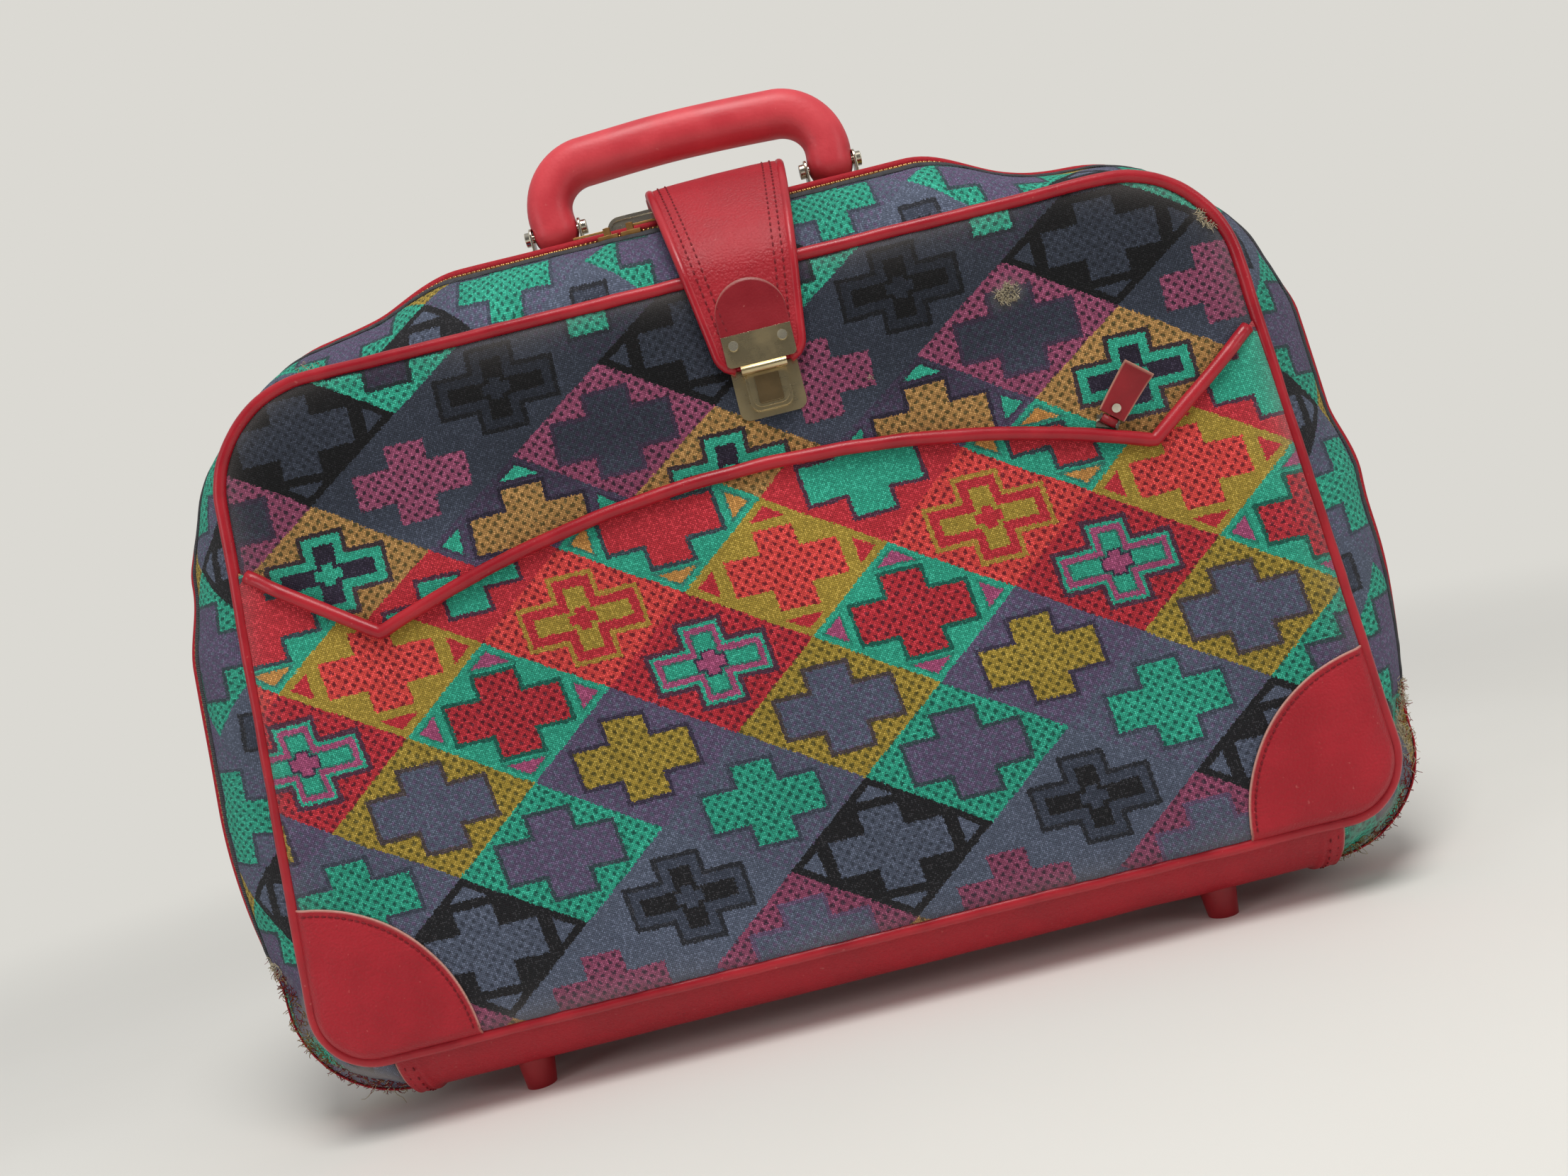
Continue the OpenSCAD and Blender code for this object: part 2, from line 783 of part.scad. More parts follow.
// Station at a length along the zip
function leg_at(l) = max([for (i = [0:len(wrap) - 2]) zip_lengths[i] <= l ? i : 0]);
function station_at(l) =
  let (i = leg_at(l), k = (l - zip_lengths[i]) / (zip_lengths[i + 1] - zip_lengths[i]))
  lerp(wrap[i], wrap[i + 1], min(1, k));

// One row of teeth: a comb whose teeth reach across the middle of the zip into the gaps of the other row
module zip_teeth(side, phase) {
  root_y = zip_y + side * zip_root_w;
  rings = [
    for (i = [0:2 * zip_count])
      let (
        s = station_at(zip_total * i / (2 * zip_count)),
        reach = (i + phase) % 2 == 0 ? zip_tooth_w : zip_root_w - zip_bite - slide_gap,
        tip_y = root_y - side * reach
      )
      band_ring(s, min(root_y, tip_y), max(root_y, tip_y), 1, -zip_tooth_rise, zip_tooth_t - zip_tooth_rise)
  ];
  color(metal_brass)
    loft(rings);
}

module zip_teeth_front() {
  zip_teeth(-1, 0);
}

module zip_teeth_back() {
  zip_teeth(1, 1);
}

// Frame of a zip slider: on the gusset's surface, Z away from it
module on_zip(x) {
  translate([x, y_mid + zip_y, zip_surface_z])
    rotate([zip_tilt, 0, 0])
      children();
}

module zip_slider(x) {
  cheek_y = pull_w / 2 + seam_gap;
  top = slider_lift + slider_t;
  color(metal_brass)
    on_zip(x) {
      translate([-slider_l / 2, -slider_w / 2, slider_lift])
        cube([slider_l, slider_w, slider_t]);
      for (side = [-1, 1]) {
        translate([-slider_l / 2, side * (slider_w - slider_lip) / 2 - slider_lip / 2, 0])
          cube([slider_l, slider_lip, slider_lift + fit_gap]);
        translate([-pull_eye_d / 2, side * (cheek_y + bail_t / 2) - bail_t / 2, top - fit_gap])
          cube([pull_eye_d, bail_t, pull_pin_z - top + pull_pin_d]);
      }
      rod_y(0, -cheek_y - fit_gap, cheek_y + fit_gap, pull_pin_z, pull_pin_d);
    }
}

module zip_slider_left() {
  zip_slider(slider_left_x);
}

module zip_slider_right() {
  zip_slider(slider_right_x);
}

module zip_pull(x, side) {
  color(metal_brass)
    on_zip(x)
      translate([0, 0, pull_pin_z])
        difference() {
          union() {
            rod_y(0, -pull_w / 2, pull_w / 2, 0, pull_eye_d);
            translate([side > 0 ? 0 : -pull_l, -pull_w / 2, -pull_t / 2])
              cube([pull_l, pull_w, pull_t]);
          }
          rod_y(0, -pull_w, pull_w, 0, pull_pin_d + 2 * fit_gap);
          translate([side * (pull_l - pull_w), 0, -pull_t])
            cylinder(h = 2 * pull_t, d = pull_pin_d);
        }
}

module zip_pull_left() {
  zip_pull(slider_left_x, -1);
}

module zip_pull_right() {
  zip_pull(slider_right_x, 1);
}

// Outline of the bracket plate: straight, with half-round ends
module bracket_shape(inset) {
  translate([handle_x - bracket_half + bracket_end_r, flange_z + inset])
    square([bracket_l - 2 * bracket_end_r, bracket_h - 2 * inset]);
  for (side = [-1, 1])
    translate([handle_x + side * (bracket_half - bracket_end_r), flange_z + bracket_end_r])
      circle(bracket_end_r - inset);
}

module handle_bracket() {
  dimple_x = bracket_half - bracket_end_r;
  web_y = bracket_y + flange_w / 2 - web_t;
  color(metal_nickel)
    difference() {
      union() {
        translate([handle_x - bracket_half + bracket_end_r, bracket_y - flange_w / 2, flange_z])
          cube([bracket_l - 2 * bracket_end_r, flange_w, clip_t]);
        upright(web_y, web_y + web_t)
          bracket_shape(0);
        upright(web_y - rim_t, web_y)
          difference() {
            bracket_shape(0);
            bracket_shape(rim_w);
          }
        for (side = [-1, 1])
          rod_y(handle_x + side * dimple_x, web_y - rim_t, web_y, flange_z + bracket_end_r, pin_d);
      }
      bracket_shanks(flange_z - cut, web_z + cut, rivet_d + 2 * fit_gap);
    }
}

module bracket_rivets() {
  color(metal_nickel) {
    bracket_shanks(backing_z, web_z, rivet_d);
    bracket_shanks(web_z, web_z + rivet_head_t, rivet_head_d);
    bracket_shanks(backing_z - rivet_head_t, backing_z, rivet_head_d);
  }
}

module bracket_backing() {
  color(metal_nickel)
    difference() {
      translate([handle_x - bracket_half, bracket_y - backing_w / 2, backing_z])
        cube([bracket_l, backing_w, backing_t]);
      bracket_shanks(backing_z - cut, backing_z + backing_t + cut, rivet_d + 2 * fit_gap);
    }
}

// Folded clip: a base riveted under the bracket, two ears beside the handle's end, rolled barrels on the pin
module handle_clip(side) {
  mid_x = handle_x + side * tip_x;
  inner_x = handle_x + side * (bracket_half - clip_overlap);
  outer_x = mid_x + side * (ear_x + clip_t);
  color(metal_nickel)
    difference() {
      union() {
        translate([min(inner_x, outer_x), bracket_y - clip_w / 2, clip_base_z])
          cube([abs(outer_x - inner_x), clip_w, clip_t]);
        for (end = [-1, 1]) {
          ear = mid_x + end * (ear_x + clip_t / 2);
          barrel = mid_x + end * (ear_x + clip_t + barrel_l / 2);
          sideways(ear - clip_t / 2, ear + clip_t / 2)
            ear_shape();
          rod_x(barrel - barrel_l / 2, barrel + barrel_l / 2, bracket_y, pivot_z, barrel_d);
        }
      }
      rod_x(mid_x - barrel_end_x - cut, mid_x + barrel_end_x + cut, bracket_y, pivot_z, pin_d + 2 * fit_gap);
      bracket_shanks(clip_base_z - cut, flange_z + cut, rivet_d + 2 * fit_gap);
    }
}

module ear_shape() {
  translate([bracket_y - clip_w / 2, clip_base_z])
    square([clip_w, pivot_z - clip_base_z]);
  translate([bracket_y, pivot_z])
    circle(d = clip_w);
}

module handle_clip_left() {
  handle_clip(-1);
}

module handle_clip_right() {
  handle_clip(1);
}

module handle_pin(side) {
  mid_x = handle_x + side * tip_x;
  color(metal_nickel)
    rod_x(mid_x - barrel_end_x, mid_x + barrel_end_x, bracket_y, pivot_z, pin_d);
}

module handle_pin_left() {
  handle_pin(-1);
}

module handle_pin_right() {
  handle_pin(1);
}

// Right half of the handle, from its round end to the middle of the grip, each station with its two half sizes
handle_dome = [
  for (i = [0:dome_steps])
    let (a = lerp(dome_start, 90, i / dome_steps))
    [tip_x, pivot_z - arm_r * cos(a), 0, arm_r * sin(a), grip_d / 2 * sin(a)]
];
handle_arm = [
  for (i = [1:ease_steps - 1])
    let (k = i / ease_steps)
    [lerp(tip_x, arm_x, (1 - cos(180 * k)) / 2), pivot_z + arm_rise * k, 0, arm_r, grip_d / 2]
];
handle_bend = [
  for (i = [0:bend_steps])
    let (k = i / bend_steps, a = 90 * k)
    [
      arm_x - bend_r + bend_r * cos(a), grip_z - bend_r + bend_r * sin(a), a,
      lerp(arm_r, grip_t / 2, k), grip_d / 2
    ]
];
handle_grip_run = [
  for (i = [1:grip_steps])
    let (k = i / grip_steps)
    [(arm_x - bend_r) * (1 - k), grip_z + grip_crown * sin(90 * k), 90, grip_t / 2, grip_d / 2]
];
handle_right = concat(handle_dome, handle_arm, handle_bend, handle_grip_run);
handle_left = [
  for (i = [len(handle_right) - 2:-1:0])
    let (s = handle_right[i])
    [-s[0], s[1], 180 - s[2], s[3], s[4]]
];

module handle_grip() {
  rings = [
    for (s = concat(handle_right, handle_left))
      tube_ring(
        [handle_x + s[0], bracket_y, s[1]], [0, -1, 0], [cos(s[2]), 0, sin(s[2])], s[4], s[3], grip_sides)
  ];
  color(vinyl_red)
    difference() {
      loft(rings);
      for (side = [-1, 1])
        rod_x(
          handle_x + side * tip_x - arm_w, handle_x + side * tip_x + arm_w,
          bracket_y, pivot_z, pin_d + 2 * fit_gap);
    }
}

// Strap line from the back, over the bracket, to the front: two curves between straight ends
strap_crown = [bracket_y, strap_top_z];
function curve_at(p, q, r, s, k) =
  p * pow(1 - k, 3) + q * 3 * k * pow(1 - k, 2) + r * 3 * k * k * (1 - k) + s * pow(k, 3);
function strap_curve(y) =
  let (
    foot = [y, strap_turn_z],
    lift = [y, lerp(strap_turn_z, strap_top_z, strap_rise_share)],
    reach = [lerp(bracket_y, y, strap_reach_share), strap_top_z]
  )
  [for (i = [0:strap_steps]) curve_at(foot, lift, reach, strap_crown, i / strap_steps)];
strap_front_curve = mirrored(strap_curve(strap_front_y));
strap_line = concat(
  [[strap_back_y, strap_back_end_z]],
  strap_curve(strap_back_y),
  [for (i = [1:strap_steps]) strap_front_curve[i]],
  [[strap_front_y, strap_end_z]]);

// Outward normal of the strap line, and its points moved outward by d
function strap_normal(i) =
  let (
    a = strap_line[max(0, i - 1)],
    b = strap_line[min(len(strap_line) - 1, i + 1)],
    t = (b - a) / norm(b - a)
  )
  [t[1], -t[0]];
function strap_edge(d) = [for (i = [0:len(strap_line) - 1]) strap_line[i] + d * strap_normal(i)];

// Half width of the strap at a height on the front
strap_taper_z = strap_end_z + strap_corner_r;
strap_over_z = strap_top_z + strap_t;
function strap_half(z) =
  lerp(strap_low_w, strap_top_w, min(1, max(0, (z - strap_taper_z) / (strap_over_z - strap_taper_z)))) / 2;

module strap_front_shape(inset) {
  low = strap_low_w / 2 - inset;
  top = strap_top_w / 2 - inset;
  translate([strap_x, 0]) {
    polygon([[-low, strap_taper_z], [low, strap_taper_z], [top, strap_over_z], [top, strap_over_z + cut],
      [-top, strap_over_z + cut], [-top, strap_over_z]]);
    tongue_shape(0, strap_end_z, 2 * low, 2 * strap_corner_r, strap_corner_r);
  }
}

module strap() {
  inset = bead_d + seam_gap;
  shanks_y = strap_face_y - cut;
  color(vinyl_red)
    difference() {
      intersection() {
        sideways(strap_x - strap_top_w, strap_x + strap_top_w)
          polygon(concat(strap_edge(0), mirrored(strap_edge(strap_t))));
        union() {
          upright(strap_face_y - cut, bracket_y)
            strap_front_shape(inset);
          upright(bracket_y, strap_back_y + strap_t + cut)
            tongue_shape(
              strap_x, strap_back_end_z, strap_top_w - 2 * inset,
              strap_over_z - strap_back_end_z + cut, strap_back_corner_r);
        }
      }
      hasp_shanks(shanks_y, strap_front_y + cut, hasp_rivet_d + 2 * fit_gap);
    }
}

// Rolled bead along one edge of the strap
module strap_bead(side) {
  middle = strap_edge(strap_t / 2);
  count = len(middle);
  rings = [
    for (i = [0:count - 1])
      let (
        z = i == 0 ? middle[0][1] + strap_back_corner_r : (i == count - 1 ? strap_taper_z : middle[i][1]),
        half = middle[i][0] > bracket_y ? strap_top_w / 2 : strap_half(z),
        n = strap_normal(i)
      )
      tube_ring(
        [strap_x + side * (half - bead_r), middle[i][0], z], [1, 0, 0], [0, n[0], n[1]],
        bead_r, bead_r, tube_sides)
  ];
  color(vinyl_red)
    loft(rings);
}

module strap_bead_left() {
  strap_bead(-1);
}

module strap_bead_right() {
  strap_bead(1);
}

// Shanks of the two hasp rivets
module hasp_shanks(y0, y1, d) {
  for (side = [-1, 1])
    rod_y(strap_x + side * hasp_rivet_x, y0, y1, hasp_high_z - hasp_rivet_drop, d);
}

module strap_patch() {
  low_z = hasp_low_z + hasp_step;
  color(vinyl_red)
    difference() {
      upright(hasp_y, strap_face_y) {
        translate([strap_x - patch_w / 2, low_z])
          square([patch_w, hasp_high_z - low_z + patch_rise]);
        translate([strap_x, hasp_high_z + patch_rise])
          circle(d = patch_w);
      }
      hasp_shanks(hasp_y - cut, strap_face_y + cut, hasp_rivet_d + 2 * fit_gap);
    }
}

module hasp_plate() {
  color(metal_brass)
    difference() {
      union() {
        upright(hasp_y - hasp_t, hasp_y) {
          tongue_shape(strap_x, hasp_low_z + hasp_step, hasp_w, hasp_h - hasp_step, hasp_corner_r);
          translate([strap_x - hasp_step_w / 2, hasp_low_z])
            square([hasp_step_w, hasp_h]);
        }
        rod_x(
          strap_x - hasp_bead_l / 2, strap_x + hasp_bead_l / 2,
          hasp_y - hasp_bead_d / 2, hasp_low_z - hasp_bead_d / 4, hasp_bead_d);
      }
      hasp_shanks(hasp_y - hasp_t - cut, hasp_y + cut, hasp_rivet_d + 2 * fit_gap);
    }
}

module hasp_rivets() {
  front_y = hasp_y - hasp_t;
  color(metal_brass) {
    hasp_shanks(front_y, strap_front_y, hasp_rivet_d);
    hasp_shanks(front_y - hasp_rivet_head_t, front_y, hasp_rivet_head_d);
  }
}

// Raised frame of the lock: two steps, round at the bottom, open at the top for the hasp
module frame_shape(inset) {
  tongue_shape(
    strap_x, frame_low_z + inset, frame_w - 2 * inset, frame_high_z - frame_low_z - inset, frame_r);
}

module button_shape(grow) {
  tongue_shape(strap_x, button_low_z - grow, button_w + 2 * grow, button_h + 2 * grow, button_r);
}

module lock_base() {
  cavity_y = frame_face_y + frame_wall;
  color(metal_brass)
    difference() {
      union() {
        upright(lock_face_y, front_face_y)
          tongue_shape(strap_x, lock_low_z, lock_w, lock_h, lock_corner_r);
        upright(lock_face_y - frame_low_h, lock_face_y)
          frame_shape(0);
        upright(frame_face_y, lock_face_y - frame_low_h)
          frame_shape(frame_step);
        for (side = [-1, 1])
          translate([strap_x + side * prong_x - prong_w / 2, front_face_y, prong_z - prong_t / 2])
            cube([prong_w, cover_t + board_t + lock_backing_t, prong_t]);
      }
      upright(cavity_y, lock_face_y)
        button_shape(button_flange + button_gap);
      upright(frame_face_y - cut, cavity_y + cut)
        button_shape(button_gap);
    }
}

module lock_button() {
  flange_y = frame_face_y + frame_wall + button_gap;
  color(metal_brass) {
    upright(frame_face_y - button_rise, flange_y)
      button_shape(0);
    upright(flange_y, flange_y + button_flange_t)
      button_shape(button_flange);
  }
}

// Bowed leaf spring between the lock's plate and the button
module lock_spring() {
  bow = button_travel;
  r = (spring_span * spring_span / 4 + bow * bow) / (2 * bow);
  crown_y = lock_face_y - button_gap - bow;
  color(metal_nickel)
    translate([strap_x, crown_y + r, button_low_z + button_h / 2 - spring_w / 2])
      intersection() {
        difference() {
          cylinder(h = spring_w, r = r + spring_t);
          translate([0, 0, -cut])
            cylinder(h = spring_w + 2 * cut, r = r);
        }
        translate([-spring_span / 2, -r - spring_t, 0])
          cube([spring_span, bow, spring_w]);
      }
}

module lock_backing() {
  back_y = front_board_y + board_t;
  color(metal_nickel)
    difference() {
      upright(back_y, back_y + lock_backing_t)
        tongue_shape(strap_x, lock_low_z, lock_w, lock_h, lock_corner_r);
      prong_holes(back_y - cut, back_y + lock_backing_t + cut);
    }
}

// Tapered foot, cut to the base above, with a recess for its rivet
module foot(sx, sy) {
  color(vinyl_red)
    difference() {
      translate([sx * foot_x, y_mid + sy * foot_y, 0])
        cylinder(h = foot_h + foot_seat, d1 = foot_d * foot_tip_share, d2 = foot_d);
      sideways(-strip_half, strip_half)
        polygon(concat(strip_edge(-fit_gap), [[y_mid + gusset_half, z_low], [y_mid - gusset_half, z_low]]));
      foot_shanks(-cut, foot_h + foot_seat + cut, foot_rivet_d + 2 * fit_gap);
      foot_shanks(-cut, foot_recess_h, foot_recess_d);
    }
}

module foot_front_left() {
  foot(-1, -1);
}

module foot_front_right() {
  foot(1, -1);
}

module foot_back_left() {
  foot(-1, 1);
}

module foot_back_right() {
  foot(1, 1);
}

module foot_rivets() {
  board_top_z = base_board_z + base_board_t;
  color(metal_nickel) {
    foot_shanks(foot_recess_h, board_top_z, foot_rivet_d);
    foot_shanks(foot_recess_h - foot_rivet_head_t, foot_recess_h, foot_rivet_head_d);
    foot_shanks(board_top_z, board_top_z + foot_rivet_head_t, foot_rivet_head_d);
  }
}

front_cover();
front_board();
back_cover();
back_board();
front_gusset();
back_gusset();
bottom_strip();
base_board();
front_piping();
back_piping();
pocket_front();
pocket_welt();
pocket_zip();
pocket_slider();
pocket_tab();
pocket_tab_rivet();
corner_patch_left();
corner_patch_right();
zip_tape_front();
zip_tape_back();
zip_teeth_front();
zip_teeth_back();
zip_slider_left();
zip_slider_right();
zip_pull_left();
zip_pull_right();
handle_bracket();
bracket_rivets();
bracket_backing();
handle_clip_left();
handle_clip_right();
handle_pin_left();
handle_pin_right();
handle_grip();
strap();
strap_bead_left();
strap_bead_right();
strap_patch();
hasp_plate();
hasp_rivets();
lock_base();
lock_button();
lock_spring();
lock_backing();
foot_front_left();
foot_front_right();
foot_back_left();
foot_back_right();
foot_rivets();
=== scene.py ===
# %% [markdown]
# # A soft-sided overnight suitcase
# The solids of the case are loaded first and never move. This lesson dresses them: the cloth, vinyl and
# tape are modelled again as soft pieces over their solids, and the metal keeps its solids with better
# edges and finishes. Lengths are typed in millimetres and turned into metres where a mesh is made.

# %% Load the frame
import bisect
import bmesh
import bpy
import json
import math
import random
from mathutils import Matrix, Vector, noise


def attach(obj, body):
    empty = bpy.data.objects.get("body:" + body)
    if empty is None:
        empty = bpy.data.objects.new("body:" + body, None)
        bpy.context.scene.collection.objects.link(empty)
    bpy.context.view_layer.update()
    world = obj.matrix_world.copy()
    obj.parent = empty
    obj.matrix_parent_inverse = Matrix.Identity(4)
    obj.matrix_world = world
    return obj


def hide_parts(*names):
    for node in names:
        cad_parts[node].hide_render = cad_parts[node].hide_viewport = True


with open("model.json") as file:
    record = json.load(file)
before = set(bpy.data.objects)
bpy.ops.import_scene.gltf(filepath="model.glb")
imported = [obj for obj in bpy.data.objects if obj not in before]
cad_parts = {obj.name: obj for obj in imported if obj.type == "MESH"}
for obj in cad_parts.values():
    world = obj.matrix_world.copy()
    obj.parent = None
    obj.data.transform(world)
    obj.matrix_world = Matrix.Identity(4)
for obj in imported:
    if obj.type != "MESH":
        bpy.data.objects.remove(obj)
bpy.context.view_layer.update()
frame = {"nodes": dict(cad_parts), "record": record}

MM = 0.001
scene = bpy.context.scene
scene.view_settings.view_transform = "Standard"

# %% [markdown]
# ## Camera
# The photograph looks square on to the front of the case, from close by, with the camera rolled, so the
# case leans to the left in the picture. The lens is worked out from the scale on the front panel: so many
# pixels of the 2212 by 1659 frame cover a millimetre there.

# %% Camera
PHOTO_W = 2212
PIXELS_PER_MM = 3.49
CAMERA_GAP = 513
CAMERA_ROLL = math.radians(-14.0)
AIM = Vector((1.3, -50.8, 180.4)) * MM
SENSOR_W = 36

lens = bpy.data.cameras.new("photo_camera")
lens.sensor_fit = "HORIZONTAL"
lens.sensor_width = SENSOR_W
lens.lens = SENSOR_W * PIXELS_PER_MM * CAMERA_GAP / PHOTO_W
lens.clip_start = 0.01
camera = bpy.data.objects.new("photo_camera", lens)
camera.matrix_world = (
    Matrix.Translation(AIM)
    @ Matrix.Rotation(math.pi / 2, 4, "X")
    @ Matrix.Rotation(CAMERA_ROLL, 4, "Z")
    @ Matrix.Translation((0, 0, CAMERA_GAP * MM))
)
scene.collection.objects.link(camera)
scene.camera = camera
print("lens", round(lens.lens, 1), "mm at", CAMERA_GAP, "mm from the panel")

# %% [markdown]
# ## Sizes of the case
# The soft pieces repeat the sizes of the solids they stand for. The panel is a trapezoid with round
# corners. Its outline is walked as stations: a point, and the direction in which the outline faces there.

# %% Panel outline
BOTTOM_W, TOP_W, PANEL_H = 455, 418, 276
TOP_R, BOTTOM_R = 46, 25
Z_LOW = 34
Z_HIGH = Z_LOW + PANEL_H
LEAN = math.atan2((BOTTOM_W - TOP_W) / 2, PANEL_H)
LOW_CX = BOTTOM_W / 2 - BOTTOM_R * (1 + math.sin(LEAN)) / math.cos(LEAN)
LOW_CZ = Z_LOW + BOTTOM_R
HIGH_CX = TOP_W / 2 - TOP_R * (1 - math.sin(LEAN)) / math.cos(LEAN)
HIGH_CZ = Z_HIGH - TOP_R
Y_MID = 2.7422
FACE_HALF, SEAM_HALF = 53.5, 52
FRONT_FACE, BACK_FACE = Y_MID - FACE_HALF, Y_MID + FACE_HALF
FRONT_SEAM, BACK_SEAM = Y_MID - SEAM_HALF, Y_MID + SEAM_HALF
PIPING_R = 2.6
SEAM_INSET = 1.2
SIDES = ((-1, "left"), (1, "right"))
TINY = 1e-9


def lerp(a, b, k):
    return a + (b - a) * k


def clamp(k):
    return min(1.0, max(0.0, k))


def ease(k):
    k = clamp(k)
    return k * k * (3 - 2 * k)


def bell(k, width):
    """1 in the middle, falling softly to 0 beyond a width on either side."""
    return math.exp(-((k / width) ** 2))


def dwindle(gap, start, reach):
    """1 up to a start, then less and less over a reach."""
    return math.exp(-max(0.0, gap - start) / reach)


def blunt(k, power):
    """Flattens a sine or cosine, so that a ring drawn with it has fuller corners."""
    return math.copysign(abs(k) ** power, k)


def dip(k, deep, start, ramp, end, fade):
    """A soft hollow: it sets in at start, is deep after its ramp, and fades out from end on."""
    return deep * ease((k - start) / ramp) * (1 - ease((k - end) / fade))


def ripple(x, y, z, size, seed=0.0):
    """Smooth noise from -1 to 1 with waves about as long as size, in millimetres."""
    return noise.noise(Vector((x / size + seed, y / size - seed, z / size + 2 * seed)))


def wavy(x, z, kinds):
    """Waves of several kinds on top of each other; each kind has a height, a seed and a length."""
    return sum(height * ripple(x, seed, z, length) for height, seed, length in kinds)


def arc_stations(cx, cz, r, start, end, n):
    turns = [lerp(start, end, i / n) for i in range(n + 1)]
    return [(cx + r * math.cos(a), cz + r * math.sin(a), a) for a in turns]


def straight_stations(p, q, n):
    return [tuple(lerp(p[k], q[k], i / n) for k in range(3)) for i in range(1, n)]


HALF_TURN = math.pi / 2
low_arc = arc_stations(LOW_CX, LOW_CZ, BOTTOM_R, -HALF_TURN, LEAN, 18)
high_arc = arc_stations(HIGH_CX, HIGH_CZ, TOP_R, LEAN, HALF_TURN, 26)
right_side = low_arc + straight_stations(low_arc[-1], high_arc[0], 60) + high_arc
left_side = [(-x, z, math.pi - a) for x, z, a in reversed(right_side)]
OVER = right_side + straight_stations(right_side[-1], left_side[0], 90) + left_side
BASE_RUN = straight_stations((-LOW_CX, Z_LOW, 1.5 * math.pi), (LOW_CX, Z_LOW, 1.5 * math.pi), 110)
over_lengths = [0.0]
for here, there in zip(OVER, OVER[1:]):
    over_lengths.append(over_lengths[-1] + math.dist(here[:2], there[:2]))
OVER_LENGTH = over_lengths[-1]


def step_at(lengths, goal):
    """The step of a walk in which a length lies, and the share of the step that it takes up."""
    step = min(bisect.bisect_right(lengths, goal + TINY) - 1, len(lengths) - 2)
    return step, (goal - lengths[step]) / max(TINY, lengths[step + 1] - lengths[step])


def station(share):
    """The station at a share of the way from the right end of the base, over the top, to the left end."""
    step, k = step_at(over_lengths, clamp(share) * OVER_LENGTH)
    return tuple(lerp(OVER[step][i], OVER[step + 1][i], k) for i in range(3))


def rim_gap(x, z):
    """Distance of a point of the panel from its outline."""
    x = abs(x)
    gap = min((BOTTOM_W / 2 - x) * math.cos(LEAN) - (z - Z_LOW) * math.sin(LEAN), z - Z_LOW, Z_HIGH - z)
    if x > LOW_CX and z < LOW_CZ:
        gap = min(gap, BOTTOM_R - math.hypot(x - LOW_CX, z - LOW_CZ))
    if x > HIGH_CX and z > HIGH_CZ:
        gap = min(gap, TOP_R - math.hypot(x - HIGH_CX, z - HIGH_CZ))
    return gap


def panel_floor(x):
    """Lowest height of the panel's cloth at a distance from its middle."""
    out = abs(x) - LOW_CX
    if out <= 0:
        return Z_LOW + SEAM_INSET
    return LOW_CZ - math.sqrt(max(0.0, (BOTTOM_R - SEAM_INSET) ** 2 - out * out))


def panel_roof(x):
    """Greatest height of the panel's cloth at a distance from its middle."""
    out = abs(x) - HIGH_CX
    r = TOP_R - SEAM_INSET
    if out <= 0:
        return Z_HIGH - SEAM_INSET
    if out <= r * math.cos(LEAN):
        return HIGH_CZ + math.sqrt(max(0.0, r * r - out * out))
    return HIGH_CZ + r * math.sin(LEAN) - (out - r * math.cos(LEAN)) / math.tan(LEAN)


CLOTH_HALF = LOW_CX + (BOTTOM_R - SEAM_INSET) * math.cos(LEAN)
print("outline of", len(OVER), "stations,", round(OVER_LENGTH), "mm over the top")

# %% [markdown]
# ## Ways of making a piece
# Four helpers make nearly every soft piece. A skin is a grid whose points are put where the cloth lies.
# A curtain is a skin hung between a lower and an upper edge of the panel. A tube is a round line, as
# piping is. A row copies one small shape, such as a stitch or a tooth, along a path.

# %% Helpers for meshes
def new_mesh(name, bm):
    mesh = bpy.data.meshes.new(name)
    bm.to_mesh(mesh)
    bm.free()
    return mesh


def new_piece(name, bm):
    mesh = new_mesh(name, bm)
    mesh.shade_smooth()
    piece = bpy.data.objects.new(name, mesh)
    scene.collection.objects.link(piece)
    return piece


def point_outwards(bm, outwards):
    """Turns all faces of a sheet so that they look along outwards, a function of a place."""
    bmesh.ops.recalc_face_normals(bm, faces=bm.faces)
    looks = sum(f.normal.dot(outwards(f.calc_center_median())) for f in bm.faces)
    if looks < 0:
        bmesh.ops.reverse_faces(bm, faces=bm.faces)


def skin(name, across, along, place, outwards=None, print_at=None, merge=False, rim=None):
    """Grid of faces; place(s, t) gives a point in millimetres, print_at(s, t) its spot on the cloth."""
    bm = bmesh.new()
    bmesh.ops.create_grid(bm, x_segments=across, y_segments=along, size=0.5)
    cloth = bm.loops.layers.uv.new("print") if print_at else None
    worn = bm.verts.layers.float.new("rim") if rim else None
    reach = max(v.co.x for v in bm.verts)
    shares = {v: (v.co.x / reach / 2 + 0.5, v.co.y / reach / 2 + 0.5) for v in bm.verts}
    if print_at:
        for face in bm.faces:
            for loop in face.loops:
                loop[cloth].uv = Vector(print_at(*shares[loop.vert])) * MM
    if rim:
        for v in bm.verts:
            v[worn] = rim(*shares[v])
    for v in bm.verts:
        v.co = Vector(place(*shares[v])) * MM
    if merge:
        bmesh.ops.remove_doubles(bm, verts=bm.verts, dist=0.02 * MM)
        bmesh.ops.recalc_face_normals(bm, faces=bm.faces)
    if outwards:
        point_outwards(bm, outwards)
    return new_piece(name, bm)


